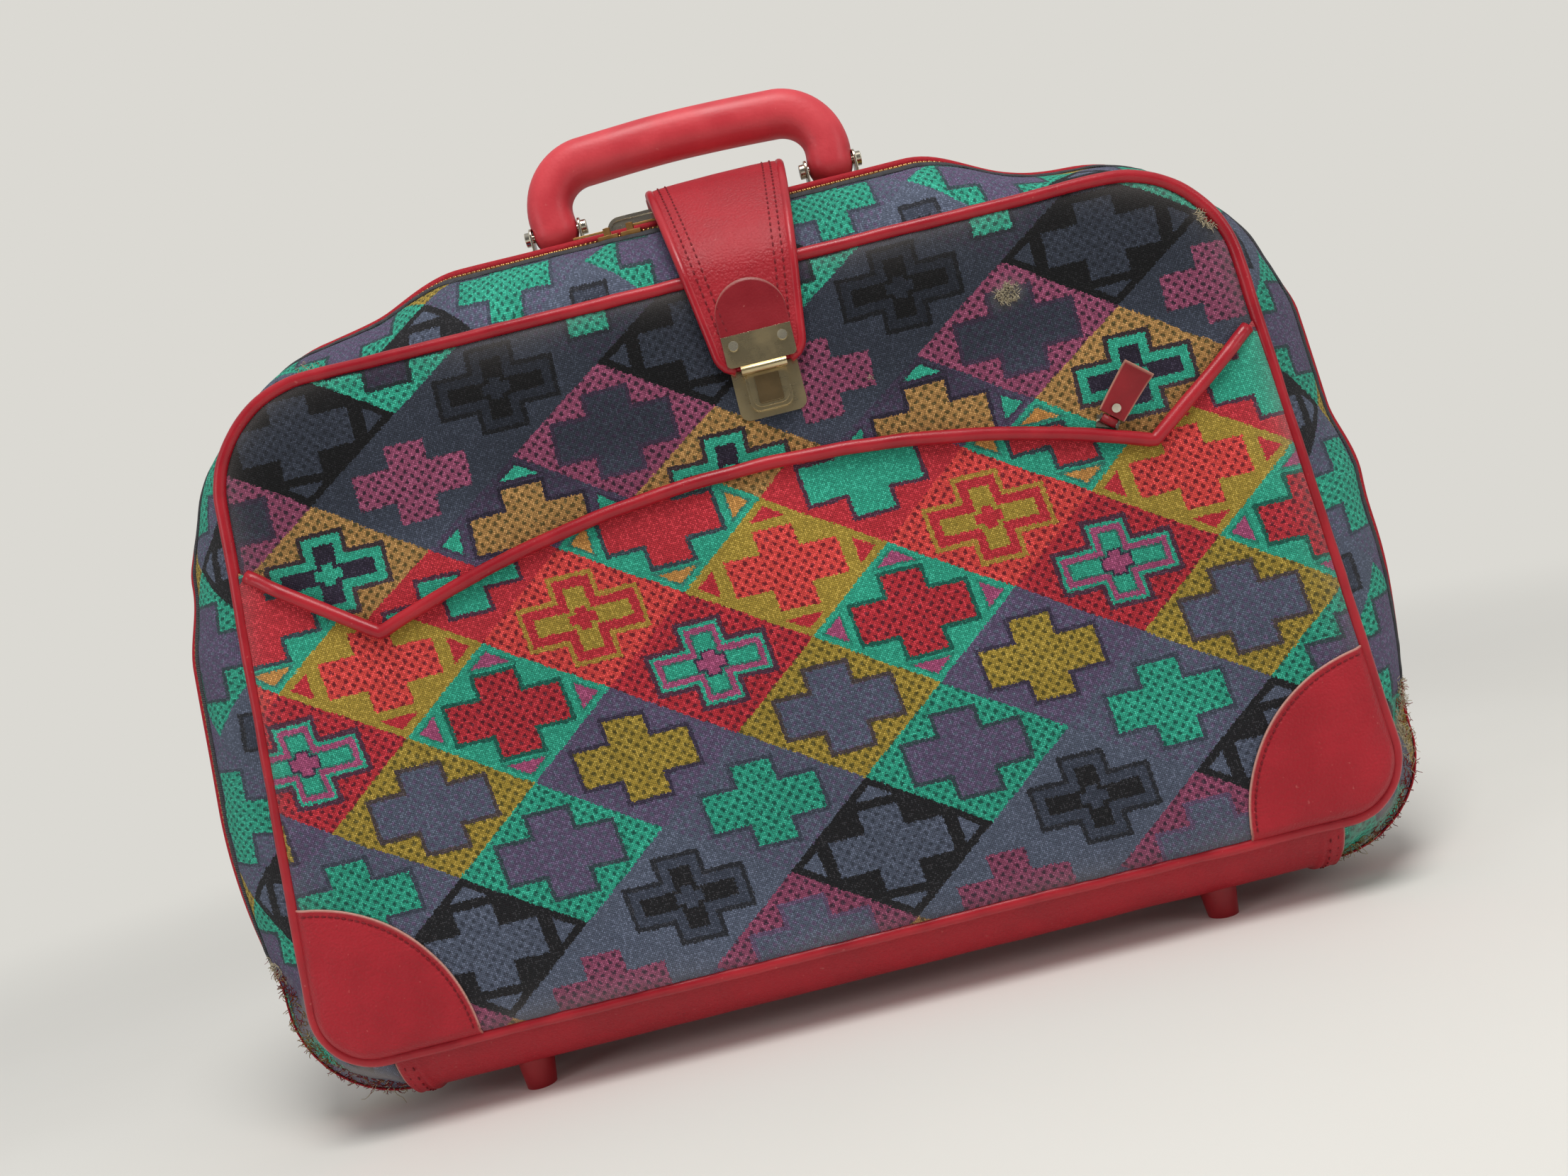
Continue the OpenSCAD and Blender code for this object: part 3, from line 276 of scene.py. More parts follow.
def curtain(name, x0, x1, across, along, floor, roof, depth, outwards, print_at=None, rim=None):
    """Skin between a floor(x) and a roof(x), at depth(x, z) from front to back."""

    def spot(s, t):
        x = lerp(x0, x1, s)
        return x, lerp(floor(x), max(floor(x), roof(x)), t)

    return skin(
        name, across, along,
        lambda s, t: (spot(s, t)[0], depth(*spot(s, t)), spot(s, t)[1]),
        lambda place: outwards,
        (lambda s, t: print_at(*spot(s, t))) if print_at else None,
        rim=(lambda s, t: rim(*spot(s, t))) if rim else None,
    )


def tube(name, runs, radius, closed=False, steps=5):
    """Round line through each run of points in millimetres; a fourth number swells or thins it."""
    line = bpy.data.curves.new(name, "CURVE")
    line.dimensions = "3D"
    line.bevel_depth = radius * MM
    line.bevel_resolution = steps
    line.use_fill_caps = not closed
    for run in runs:
        spline = line.splines.new("POLY")
        spline.points.add(len(run) - 1)
        spline.use_cyclic_u = closed
        for point, place in zip(spline.points, run):
            point.co = (place[0] * MM, place[1] * MM, place[2] * MM, 1)
            point.radius = place[3] if len(place) > 3 else 1
    drawn = bpy.data.objects.new(name, line)
    scene.collection.objects.link(drawn)
    bpy.context.view_layer.update()
    mesh = bpy.data.meshes.new_from_object(drawn.evaluated_get(bpy.context.evaluated_depsgraph_get()))
    bpy.data.objects.remove(drawn)
    bpy.data.curves.remove(line)
    mesh.name = name
    mesh.materials.clear()
    bm = bmesh.new()
    bm.from_mesh(mesh)
    bpy.data.meshes.remove(mesh)
    bmesh.ops.remove_doubles(bm, verts=bm.verts, dist=0.005 * MM)
    bmesh.ops.recalc_face_normals(bm, faces=bm.faces)
    return new_piece(name, bm)


def frame_at(place, along, up):
    """Matrix at a place in millimetres whose X runs along a line and whose Z points away from it."""
    x = Vector(along).normalized()
    y = Vector(up).cross(x).normalized()
    z = x.cross(y)
    turn = Matrix((x, y, z)).transposed().to_4x4()
    return Matrix.Translation(Vector(place) * MM) @ turn


def row(name, spots, shape):
    """Copies one small mesh to each matrix of spots."""
    bm = bmesh.new()
    for spot in spots:
        start = len(bm.verts)
        bm.from_mesh(shape)
        bm.verts.ensure_lookup_table()
        bmesh.ops.transform(bm, matrix=spot, verts=bm.verts[start:])
    return new_piece(name, bm)


def grain_of_rice(length, width, height):
    """Small mesh of a sewn stitch: a plump, flattened grain."""
    bm = bmesh.new()
    size = Matrix.Diagonal((length / 2 * MM, width / 2 * MM, height / 2 * MM, 1))
    lying = Matrix.Rotation(HALF_TURN, 4, "Y")
    bmesh.ops.create_uvsphere(bm, u_segments=8, v_segments=5, radius=1, matrix=size @ lying)
    return new_mesh("stitch_shape", bm)


def dress(piece, finish, body, slot, *nodes):
    """Gives a piece its material and its body, and hides the solids that it stands for; slot is not used."""
    piece.data.materials.clear()
    piece.data.materials.append(finish)
    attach(piece, body)
    if nodes:
        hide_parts(*nodes)
    return piece


def thicken(piece, wall):
    """Gives a sheet its thickness, away from the side that shows."""
    wall_maker = piece.modifiers.new("wall", "SOLIDIFY")
    wall_maker.thickness = wall * MM
    wall_maker.offset = -1
    return piece


def area_of(piece):
    return sum(face.area for face in piece.data.polygons)


print("helpers ready")

# %% [markdown]
# ## Shader helpers
# A finish is a small graph of nodes. These helpers keep the graphs readable: each call adds one node and
# hands back its output, and a plain number is typed straight into the socket.

# %% Helpers for shaders
def srgb(red, green, blue):
    """Linear colour of an everyday 0 to 255 colour."""
    parts = [v / 255 for v in (red, green, blue)]
    return tuple(v / 12.92 if v <= 0.04045 else ((v + 0.055) / 1.055) ** 2.4 for v in parts) + (1.0,)


class Graph:
    """A node tree with one short call for each kind of node."""

    def __init__(self, tree):
        self.tree = tree

    def feed(self, value, socket):
        if isinstance(value, (int, float, tuple)):
            socket.default_value = value
        else:
            self.tree.links.new(value, socket)

    def node(self, kind, **settings):
        made = self.tree.nodes.new("ShaderNode" + kind)
        for key, value in settings.items():
            setattr(made, key, value)
        return made

    def sum(self, operation, *values):
        made = self.node("Math", operation=operation)
        for value, socket in zip(values, made.inputs):
            self.feed(value, socket)
        return made.outputs[0]

    def mix(self, share, first, second, blend="MIX"):
        made = self.node("Mix", data_type="RGBA", blend_type=blend)
        self.feed(share, made.inputs[0])
        self.feed(first, made.inputs[6])
        self.feed(second, made.inputs[7])
        return made.outputs[2]

    def spread(self, value, low, high, to_low=0.0, to_high=1.0):
        made = self.node("MapRange", interpolation_type="SMOOTHSTEP")
        for number, socket in zip((value, low, high, to_low, to_high), made.inputs):
            self.feed(number, socket)
        return made.outputs[0]

    def noise(self, vector, scale, detail=3.0, roughness=0.55):
        made = self.node("TexNoise")
        self.feed(vector, made.inputs["Vector"])
        self.feed(scale, made.inputs["Scale"])
        self.feed(detail, made.inputs["Detail"])
        self.feed(roughness, made.inputs["Roughness"])
        return made.outputs["Fac"]

    def cells(self, vector, scale):
        made = self.node("TexVoronoi")
        self.feed(vector, made.inputs["Vector"])
        self.feed(scale, made.inputs["Scale"])
        return made.outputs["Distance"]

    def ramp(self, value, colours):
        """Table of colours: a value from 0 to 1 picks one of them."""
        made = self.node("ValToRGB")
        table = made.color_ramp
        table.interpolation = "CONSTANT"
        while len(table.elements) < len(colours):
            table.elements.new(0.999)
        for i, (element, colour) in enumerate(zip(table.elements, colours)):
            element.position = i / len(colours)
            element.color = colour
        self.feed(value, made.inputs[0])
        return made.outputs[0]

    def bump(self, height, distance, strength):
        made = self.node("Bump")
        self.feed(height, made.inputs["Height"])
        made.inputs["Distance"].default_value = distance
        made.inputs["Strength"].default_value = strength
        return made.outputs[0]

    def place(self, group, **inputs):
        made = self.node("Group")
        made.node_tree = group
        for key, value in inputs.items():
            self.feed(value, made.inputs[key])
        return made.outputs


def new_group(name, inputs, outputs):
    group = bpy.data.node_groups.new(name, "ShaderNodeTree")
    for socket, kind in inputs:
        group.interface.new_socket(socket, in_out="INPUT", socket_type="NodeSocket" + kind)
    for socket, kind in outputs:
        group.interface.new_socket(socket, in_out="OUTPUT", socket_type="NodeSocket" + kind)
    inside = group.nodes.new("NodeGroupInput").outputs
    outside = group.nodes.new("NodeGroupOutput").inputs
    return group, Graph(group), inside, outside


def new_finish(name, **settings):
    """A material with a Principled shader; returns it with its graph and the shader's sockets."""
    finish = bpy.data.materials.new(name)
    finish.use_nodes = True
    shader = next(n for n in finish.node_tree.nodes if n.type == "BSDF_PRINCIPLED")
    for key, value in settings.items():
        shader.inputs[key.replace("_", " ")].default_value = value
    return finish, Graph(finish.node_tree), shader.inputs


print("shader helpers ready")

# %% [markdown]
# ## The printed cloth
# The cloth is a coarse plain weave with a printed lattice of diamonds. In each diamond sits a cross with
# stepped sides, and many fields are dotted. The print is drawn with arithmetic: a point of the cloth is
# turned into diamond coordinates, the whole part says which diamond it is, and the rest says where in the
# diamond it lies. Before that, the point is shifted a little from thread to thread, so the edges of the
# print are ragged as on the real weave.

# %% Colours of the print
INK = {
    "slate": (82, 90, 108), "dusk": (58, 64, 78), "black": (30, 30, 33), "purple": (88, 76, 104),
    "magenta": (136, 68, 96), "plum": (56, 36, 52), "mustard": (166, 126, 74), "moss": (76, 68, 36),
    "teal": (46, 156, 130), "pine": (22, 80, 70), "coral": (212, 70, 66), "maroon": (102, 26, 36),
    "red": (180, 46, 56), "wine": (84, 24, 38), "olive": (158, 134, 54), "fern": (80, 74, 32),
    "pink": (156, 74, 112), "gold": (184, 132, 70), "night": (52, 46, 64),
}
# field and its dots, triangles, then the cross from outside to inside: outline, line, band, heart, dots, core
MOTIFS = [
    "black black slate black slate slate slate dusk slate",
    "slate slate slate black dusk dusk black black dusk",
    "slate slate slate slate magenta magenta magenta plum magenta",
    "magenta plum magenta purple slate slate slate purple slate",
    "mustard moss mustard night teal teal night night teal",
    "purple slate teal night mustard mustard mustard moss mustard",
    "red red red night gold teal teal teal gold",
    "teal teal gold night red red red red red",
    "olive olive red olive coral coral coral maroon coral",
    "coral maroon coral olive red red olive olive red",
    "teal teal pink pine red red red wine red",
    "red wine red night teal pink teal teal pink",
    "olive fern olive night slate slate slate purple purple",
    "purple slate purple night olive olive olive fern olive",
    "teal pine teal night purple purple purple slate purple",
    "slate purple slate dusk teal teal teal pine teal",
]
MOTIFS = [[srgb(*INK[word]) for word in motif.split()] for motif in MOTIFS]
YES, NO = (1.0, 1.0, 1.0, 1.0), (0.0, 0.0, 0.0, 1.0)
PLAIN_CROSS = [YES if motif[5] == motif[6] else NO for motif in MOTIFS]
EDGED_WEDGE = [YES if motif[2] != motif[0] else NO for motif in MOTIFS]
print(len(MOTIFS), "motifs in the print")

# %% Weave and print
HALF_DIAMOND_W = 42.0
HALF_DIAMOND_H = 28.5
PRINT_X = -8.0
PRINT_Z = 287.0
THREAD = 0.72
RAGGED = 0.8
DOT_STEP, DOT_LINE, DOT_R = 4.6, 2.3, 1.0
# half widths and half heights of the two blocks of a cross, and of the core in its middle
CROSS = (24.5, 8.3, 9.2, 17.2)
CORE = (5.6, 2.0, 2.3, 4.4)
# how far inside its edge each ring of the cross starts
OUTLINE_AT, LINE_AT, BAND_AT, HEART_EDGE_AT, HEART_AT, PLAIN_HEART_AT = 0.6, -1.3, -2.7, -4.9, -5.7, -1.1
CORE_EDGE = 0.8
WEDGE_X, WEDGE_Z, WEDGE_GAP, WEDGE_LINE = 29.0, 19.6, 2.9, 0.9
SLANT_MM = 47.0


def build_print():
    group, g, inside, outside = new_group(
        "woven_print", [("Cloth", "Vector")], [("Color", "Color"), ("Height", "Float"), ("Worn", "Float")])
    split = g.node("SeparateXYZ")
    g.feed(inside["Cloth"], split.inputs[0])
    sway = g.sum("MULTIPLY", g.sum("SUBTRACT", g.noise(inside["Cloth"], 40.0, 2.0), 0.5), 1.6)
    x_mm = g.sum("MULTIPLY_ADD", split.outputs[0], 1000.0, sway)
    z_mm = g.sum("MULTIPLY_ADD", split.outputs[1], 1000.0, sway)

    # threads of a plain weave: at each crossing one of the two lies on top
    warp = g.sum("DIVIDE", x_mm, THREAD)
    weft = g.sum("DIVIDE", z_mm, THREAD)
    cell = g.node("CombineXYZ")
    g.feed(g.sum("FLOOR", warp), cell.inputs[0])
    g.feed(g.sum("FLOOR", weft), cell.inputs[1])
    fleck = g.node("TexWhiteNoise", noise_dimensions="2D")
    g.feed(cell.outputs[0], fleck.inputs["Vector"])
    chance = g.node("SeparateColor")
    g.feed(fleck.outputs["Color"], chance.inputs[0])
    over = g.sum("FLOORED_MODULO", g.sum("ADD", g.sum("FLOOR", warp), g.sum("FLOOR", weft)), 2.0)
    across = g.sum("SUBTRACT", g.sum("FRACT", warp), 0.5)
    down = g.sum("SUBTRACT", g.sum("FRACT", weft), 0.5)

    def crown(beside, along):
        """Height of a thread: round across its width, diving under its neighbours along its length."""
        width = g.sum("MULTIPLY_ADD", g.sum("MULTIPLY", beside, beside), -3.6, 1.0)
        dive = g.sum("MULTIPLY_ADD", g.sum("MULTIPLY", along, along), -1.8, 1.0)
        return g.sum("MULTIPLY", width, dive)

    under = crown(down, across)
    crest = g.sum("MULTIPLY_ADD", over, g.sum("SUBTRACT", crown(across, down), under), under)

    # place in the print, a little ragged from thread to thread
    ink_x = g.sum("MULTIPLY_ADD", g.sum("SUBTRACT", chance.outputs[0], 0.5), RAGGED, x_mm)
    ink_z = g.sum("MULTIPLY_ADD", g.sum("SUBTRACT", chance.outputs[1], 0.5), RAGGED, z_mm)
    u = g.sum("DIVIDE", g.sum("SUBTRACT", ink_x, PRINT_X), HALF_DIAMOND_W)
    v = g.sum("DIVIDE", g.sum("SUBTRACT", PRINT_Z, ink_z), HALF_DIAMOND_H)
    p = g.sum("MULTIPLY", g.sum("ADD", u, v), 0.5)
    q = g.sum("MULTIPLY", g.sum("SUBTRACT", v, u), 0.5)
    i = g.sum("ROUND", p)
    j = g.sum("ROUND", q)
    left_p = g.sum("SUBTRACT", p, i)
    left_q = g.sum("SUBTRACT", q, j)
    line = g.sum("ADD", i, j)
    column = g.sum("FLOOR", g.sum("DIVIDE", g.sum("SUBTRACT", i, j), 2.0))
    first = g.sum("MULTIPLY", g.sum("FLOORED_MODULO", line, 8.0), 2.0)
    which = g.sum("ADD", first, g.sum("FLOORED_MODULO", column, 2.0))
    which = g.sum("DIVIDE", g.sum("ADD", which, 0.5), float(len(MOTIFS)))
    ax = g.sum("ABSOLUTE", g.sum("MULTIPLY", g.sum("SUBTRACT", left_p, left_q), HALF_DIAMOND_W))
    az = g.sum("ABSOLUTE", g.sum("MULTIPLY", g.sum("ADD", left_p, left_q), HALF_DIAMOND_H))

    def block(wide, tall):
        """Distance from the edge of a block in the middle of a diamond; less than zero inside."""
        return g.sum("MAXIMUM", g.sum("SUBTRACT", ax, wide), g.sum("SUBTRACT", az, tall))

    def plus(wide, low, narrow, tall):
        """The same for a plus made of a wide and a tall block."""
        return g.sum("MINIMUM", block(wide, low), block(narrow, tall))

    cross = plus(*CROSS)
    core = plus(*CORE)
    slant = g.sum("MULTIPLY", g.sum("SUBTRACT", 0.5, g.sum(
        "MAXIMUM", g.sum("ABSOLUTE", left_p), g.sum("ABSOLUTE", left_q))), SLANT_MM)
    wedge = g.sum("MINIMUM", block(WEDGE_X, WEDGE_Z), g.sum("SUBTRACT", slant, WEDGE_GAP))
    dot_line = g.sum("DIVIDE", ink_z, DOT_LINE)
    shift = g.sum("MULTIPLY", g.sum("FLOORED_MODULO", g.sum("FLOOR", dot_line), 2.0), 0.5)
    dot_x = g.sum("MULTIPLY", g.sum("SUBTRACT", g.sum(
        "FRACT", g.sum("ADD", g.sum("DIVIDE", ink_x, DOT_STEP), shift)), 0.5), DOT_STEP)
    dot_z = g.sum("MULTIPLY", g.sum("SUBTRACT", g.sum("FRACT", dot_line), 0.5), DOT_LINE)
    dot_gap = g.sum("SQRT", g.sum("ADD", g.sum("MULTIPLY", dot_x, dot_x), g.sum("MULTIPLY", dot_z, dot_z)))
    dotted = g.spread(dot_gap, 0.65 * DOT_R, 1.2 * DOT_R, 0.92, 0.0)

    # inks, laid from the field inwards
    role = [g.ramp(which, [motif[k] for motif in MOTIFS]) for k in range(len(MOTIFS[0]))]
    shade = g.mix(dotted, role[0], role[1])
    edged = g.ramp(which, EDGED_WEDGE)
    wedge_line = g.sum("MULTIPLY", edged, g.sum("GREATER_THAN", wedge, -WEDGE_LINE))
    shade = g.mix(wedge_line, shade, g.mix(0.5, role[0], role[3]))
    shade = g.mix(g.sum("MULTIPLY", edged, g.sum("GREATER_THAN", wedge, 0.0)), shade, role[2])
    heart = g.mix(dotted, role[6], role[7])
    for start, ink in (
        (OUTLINE_AT, g.mix(0.9, role[0], role[3])), (LINE_AT, role[4]), (BAND_AT, role[5]),
        (HEART_EDGE_AT, g.mix(0.6, role[6], role[3])), (HEART_AT, heart),
    ):
        shade = g.mix(g.sum("LESS_THAN", cross, start), shade, ink)
    plain = g.ramp(which, PLAIN_CROSS)
    shade = g.mix(g.sum("MULTIPLY", g.sum("LESS_THAN", cross, PLAIN_HEART_AT), plain), shade, heart)
    ringed = g.sum("SUBTRACT", 1.0, plain)
    shade = g.mix(g.sum("MULTIPLY", ringed, g.sum("LESS_THAN", core, CORE_EDGE)), shade, role[3])
    shade = g.mix(g.sum("MULTIPLY", ringed, g.sum("LESS_THAN", core, 0.0)), shade, role[8])

    # the blue-greys are deeper where the cloth has faded least, high on the panel
    hue = g.node("SeparateColor", mode="HSV")
    g.feed(shade, hue.inputs[0])
    fresh = g.sum("MULTIPLY", g.spread(hue.outputs[1], 0.55, 0.72, 1.0, 0.0), g.spread(z_mm, 205.0, 262.0))
    deep = g.sum("MULTIPLY_ADD", fresh, -0.66, 1.0)

    # thread by thread: painted shade in the gaps, painted highlight on the crowns, and a few pale tips,
    # partly painted glints and partly bare thread
    level = g.sum("ADD", g.sum("MULTIPLY", crest, 0.75), g.sum("MULTIPLY", chance.outputs[2], 0.35))
    shade = g.mix(1.0, shade, g.mix(
        g.spread(level, 0.0, 1.1), (0.38, 0.38, 0.4, 1.0), (1.46, 1.46, 1.44, 1.0)), "MULTIPLY")
    tips = g.sum("MULTIPLY", g.sum("GREATER_THAN", chance.outputs[2], 0.8), g.spread(crest, 0.4, 0.95))
    shade = g.mix(g.sum("MULTIPLY", tips, 0.6), shade, g.mix(1.0, shade, (1.7, 1.7, 1.75, 1.0), "MULTIPLY"))
    shade = g.mix(g.sum("MULTIPLY", tips, 0.05), shade, srgb(186, 184, 192))
    rubbed = g.spread(g.noise(inside["Cloth"], 26.0, 5.0, 0.7), 0.64, 0.82)
    shade = g.mix(g.sum("MULTIPLY", rubbed, 0.1), shade, srgb(150, 140, 142))
    dirt = g.spread(g.noise(inside["Cloth"], 9.0, 3.0), 0.3, 0.75, 0.84, 1.1)
    tone = g.node("CombineXYZ")
    for socket in tone.inputs:
        g.feed(g.sum("MULTIPLY", dirt, deep), socket)
    shade = g.mix(1.0, shade, tone.outputs[0], "MULTIPLY")
    g.feed(shade, outside["Color"])
    g.feed(crest, outside["Height"])
    g.feed(rubbed, outside["Worn"])
    return group


WOVEN_PRINT = build_print()


def cloth_finish(name):
    finish, g, shader = new_finish(name, Specular_IOR_Level=0.2, Sheen_Weight=0.04, Sheen_Roughness=0.5)
    spot = g.node("UVMap", uv_map="print")
    made = g.place(WOVEN_PRINT, Cloth=spot.outputs[0])
    edge = g.node("Attribute", attribute_name="rim")
    g.feed(g.mix(edge.outputs["Fac"], made["Color"], srgb(134, 128, 126)), shader["Base Color"])
    g.feed(g.spread(made["Worn"], 0.0, 1.0, 0.88, 0.7), shader["Roughness"])
    g.feed(g.bump(made["Height"], 0.0003, 0.7), shader["Normal"])
    return finish


PRINTED_CLOTH = cloth_finish("printed_cloth")
print("print of", len(WOVEN_PRINT.nodes), "nodes")

# %% [markdown]
# ## Vinyl, leather and plastic
# The trim is red vinyl over cloth: small pebbled grain, soft gloss, and a paler tone where it is rubbed.
# One group gives the pebbles and the wear, and each finish sets its own scale, colour and gloss.

# %% Red finishes
def build_grain():
    group, g, inside, outside = new_group(
        "pebbled_grain", [("Place", "Vector"), ("Scale", "Float")],
        [("Height", "Float"), ("Cloud", "Float"), ("Fleck", "Float")])
    pebble = g.cells(inside["Place"], inside["Scale"])
    fine = g.noise(inside["Place"], g.sum("MULTIPLY", inside["Scale"], 2.3), 3.0)
    g.feed(g.sum("ADD", g.sum("MULTIPLY", pebble, -0.8), g.sum("MULTIPLY", fine, 0.5)), outside["Height"])
    g.feed(g.noise(inside["Place"], 30.0, 5.0, 0.6), outside["Cloud"])
    g.feed(g.spread(g.noise(inside["Place"], 420.0, 2.0), 0.7, 0.78), outside["Fleck"])
    return group


PEBBLED_GRAIN = build_grain()


def red_finish(name, dark, light, grain, relief, gloss, coat=0.0, rim_colour=None):
    finish, g, shader = new_finish(name, Specular_IOR_Level=0.34, Coat_Weight=coat, Coat_Roughness=0.22)
    place = g.node("TexCoord").outputs["Object"]
    made = g.place(PEBBLED_GRAIN, Place=place, Scale=grain)
    tone = g.mix(g.spread(made["Cloud"], 0.3, 0.7), dark, light)
    tone = g.mix(g.sum("MULTIPLY", made["Fleck"], 0.2), tone, srgb(226, 150, 140))
    if rim_colour:
        edge = g.node("Attribute", attribute_name="rim")
        tone = g.mix(g.sum("MULTIPLY", edge.outputs["Fac"], 0.85), tone, rim_colour)
    g.feed(tone, shader["Base Color"])
    g.feed(g.spread(made["Cloud"], 0.3, 0.75, gloss, gloss + 0.16), shader["Roughness"])
    g.feed(g.bump(made["Height"], relief, 0.8), shader["Normal"])
    return finish


PALE_EDGE = srgb(202, 160, 146)
GRAINED_VINYL = red_finish(
    "grained_vinyl", srgb(154, 20, 34), srgb(170, 27, 41), 850.0, 0.0004, 0.42, 0.03, PALE_EDGE)
SMOOTH_VINYL = red_finish(
    "smooth_vinyl", srgb(122, 14, 26), srgb(140, 20, 32), 1100.0, 0.0001, 0.38, 0.05, PALE_EDGE)
PIPED_VINYL = red_finish("piped_vinyl", srgb(150, 20, 34), srgb(178, 32, 44), 1500.0, 0.00006, 0.28, 0.1)
HANDLE_VINYL = red_finish("handle_vinyl", srgb(192, 52, 62), srgb(212, 68, 76), 700.0, 0.00008, 0.38, 0.06)
TAB_LEATHER = red_finish(
    "tab_leather", srgb(124, 20, 28), srgb(150, 30, 38), 600.0, 0.00018, 0.4, 0.0, srgb(196, 150, 130))
FOOT_PLASTIC = red_finish("foot_plastic", srgb(120, 16, 26), srgb(146, 24, 32), 400.0, 0.00004, 0.3, 0.1)
print("red finishes ready")

# %% [markdown]
# ## Metal, tape, thread and board
# The lock and the handle's fittings are plated steel that has warmed and dulled with age. Large soft
# clouds of tarnish change the colour and the gloss, and fine scratches run over them.

# %% Metal and other finishes
def build_tarnish():
    group, g, inside, outside = new_group(
        "tarnish", [("Place", "Vector")], [("Cloud", "Float"), ("Pits", "Float"), ("Scratch", "Float")])
    g.feed(g.spread(g.noise(inside["Place"], 90.0, 4.0, 0.55), 0.25, 0.8), outside["Cloud"])
    g.feed(g.spread(g.noise(inside["Place"], 2200.0, 2.0), 0.62, 0.8), outside["Pits"])
    stretch = g.node("Mapping")
    stretch.inputs["Scale"].default_value = (300.0, 300.0, 4000.0)
    stretch.inputs["Rotation"].default_value = (0.2, 0.5, 0.9)
    g.feed(inside["Place"], stretch.inputs["Vector"])
    g.feed(g.noise(stretch.outputs[0], 1.0, 2.0), outside["Scratch"])
    return group


TARNISH = build_tarnish()


def metal_finish(name, bright, dull, gloss, rough):
    finish, g, shader = new_finish(name, Metallic=1.0)
    made = g.place(TARNISH, Place=g.node("TexCoord").outputs["Object"])
    tone = g.mix(made["Cloud"], bright, dull)
    tone = g.mix(g.sum("MULTIPLY", made["Pits"], 0.35), tone, srgb(84, 68, 48))
    g.feed(tone, shader["Base Color"])
    dulled = g.sum("ADD", made["Cloud"], g.sum("MULTIPLY", made["Scratch"], 0.5))
    g.feed(g.spread(dulled, 0.2, 1.3, gloss, rough), shader["Roughness"])
    g.feed(g.bump(made["Scratch"], 0.00002, 0.5), shader["Normal"])
    return finish


LOCK_PLATE = metal_finish("lock_plate", srgb(204, 188, 150), srgb(180, 162, 124), 0.24, 0.38)
# brighter metal for the rounded edges and the rivets: a painted highlight
HIGHLIGHT_METAL = metal_finish("painted_highlight_metal", srgb(238, 230, 206), srgb(214, 202, 172), 0.26, 0.4)
LOCK_BUTTON = metal_finish("lock_button_plate", srgb(160, 138, 102), srgb(132, 110, 78), 0.26, 0.4)
AGED_NICKEL = metal_finish("aged_nickel", srgb(206, 200, 186), srgb(158, 148, 130), 0.14, 0.34)
ZIP_BRASS = metal_finish("zip_brass", srgb(178, 136, 82), srgb(122, 88, 54), 0.3, 0.46)


def woven_finish(name, first, second, pitch, gloss):
    """Narrow twill, as on zip tape, or twisted sewing thread."""
    finish, g, shader = new_finish(name, Roughness=gloss, Specular_IOR_Level=0.3)
    place = g.node("TexCoord").outputs["Object"]
    ribs = g.node("TexWave", wave_type="BANDS", bands_direction="DIAGONAL")
    g.feed(place, ribs.inputs["Vector"])
    ribs.inputs["Scale"].default_value = pitch
    ribs.inputs["Distortion"].default_value = 1.5
    # the raised ribs are painted lighter in soft patches, a painted highlight
    lit = g.sum("MULTIPLY", ribs.outputs["Fac"], g.noise(place, 300.0))
    g.feed(g.mix(lit, second, first), shader["Base Color"])
    g.feed(g.bump(ribs.outputs["Fac"], 0.00015, 0.6), shader["Normal"])
    return finish


ZIP_TAPE = woven_finish("zip_tape", srgb(206, 40, 54), srgb(160, 20, 34), 1300.0, 0.7)
SEWING_THREAD = woven_finish("sewing_thread", srgb(146, 28, 40), srgb(106, 15, 25), 500.0, 0.6)
FIBRE_BOARD = woven_finish("fibre_board", srgb(190, 164, 128), srgb(150, 124, 92), 90.0, 0.9)
RAW_EDGE = woven_finish("raw_edge", srgb(104, 104, 108), srgb(40, 39, 42), 700.0, 0.9)
LOOSE_PALE = woven_finish("loose_pale", srgb(224, 214, 188), srgb(168, 156, 130), 900.0, 0.9)
LOOSE_RED = woven_finish("loose_red", srgb(176, 48, 46), srgb(104, 26, 26), 900.0, 0.9)
LOOSE_OCHRE = woven_finish("loose_ochre", srgb(190, 156, 84), srgb(110, 82, 44), 900.0, 0.9)
print("metal, tape, thread and board ready")

# %% [markdown]
# ## Solids that stay
# Metal pieces and feet keep their solids. Loose triangles are welded while rendering and their sharp
# edges get a small round, because a real stamped edge always catches a line of light.

# %% Finish the solids
FINISH_OF_SLOT = {
    "printed_cloth": PRINTED_CLOTH, "red_vinyl": GRAINED_VINYL, "red_leather": TAB_LEATHER,
    "handle_vinyl": HANDLE_VINYL, "foot_plastic": FOOT_PLASTIC, "red_tape": ZIP_TAPE, "zip_metal": ZIP_BRASS,
    "nickel": AGED_NICKEL, "lock_metal": LOCK_PLATE, "fibre_board": FIBRE_BOARD,
}
# the hasp rivets take the brighter metal, a painted highlight on their domes
FINISH_OF_NODE = {"lock_button": LOCK_BUTTON, "hasp_rivets": HIGHLIGHT_METAL}
SLOT_OF = {part["node"]: part["material_slot"] for part in frame["record"]["subparts"]}
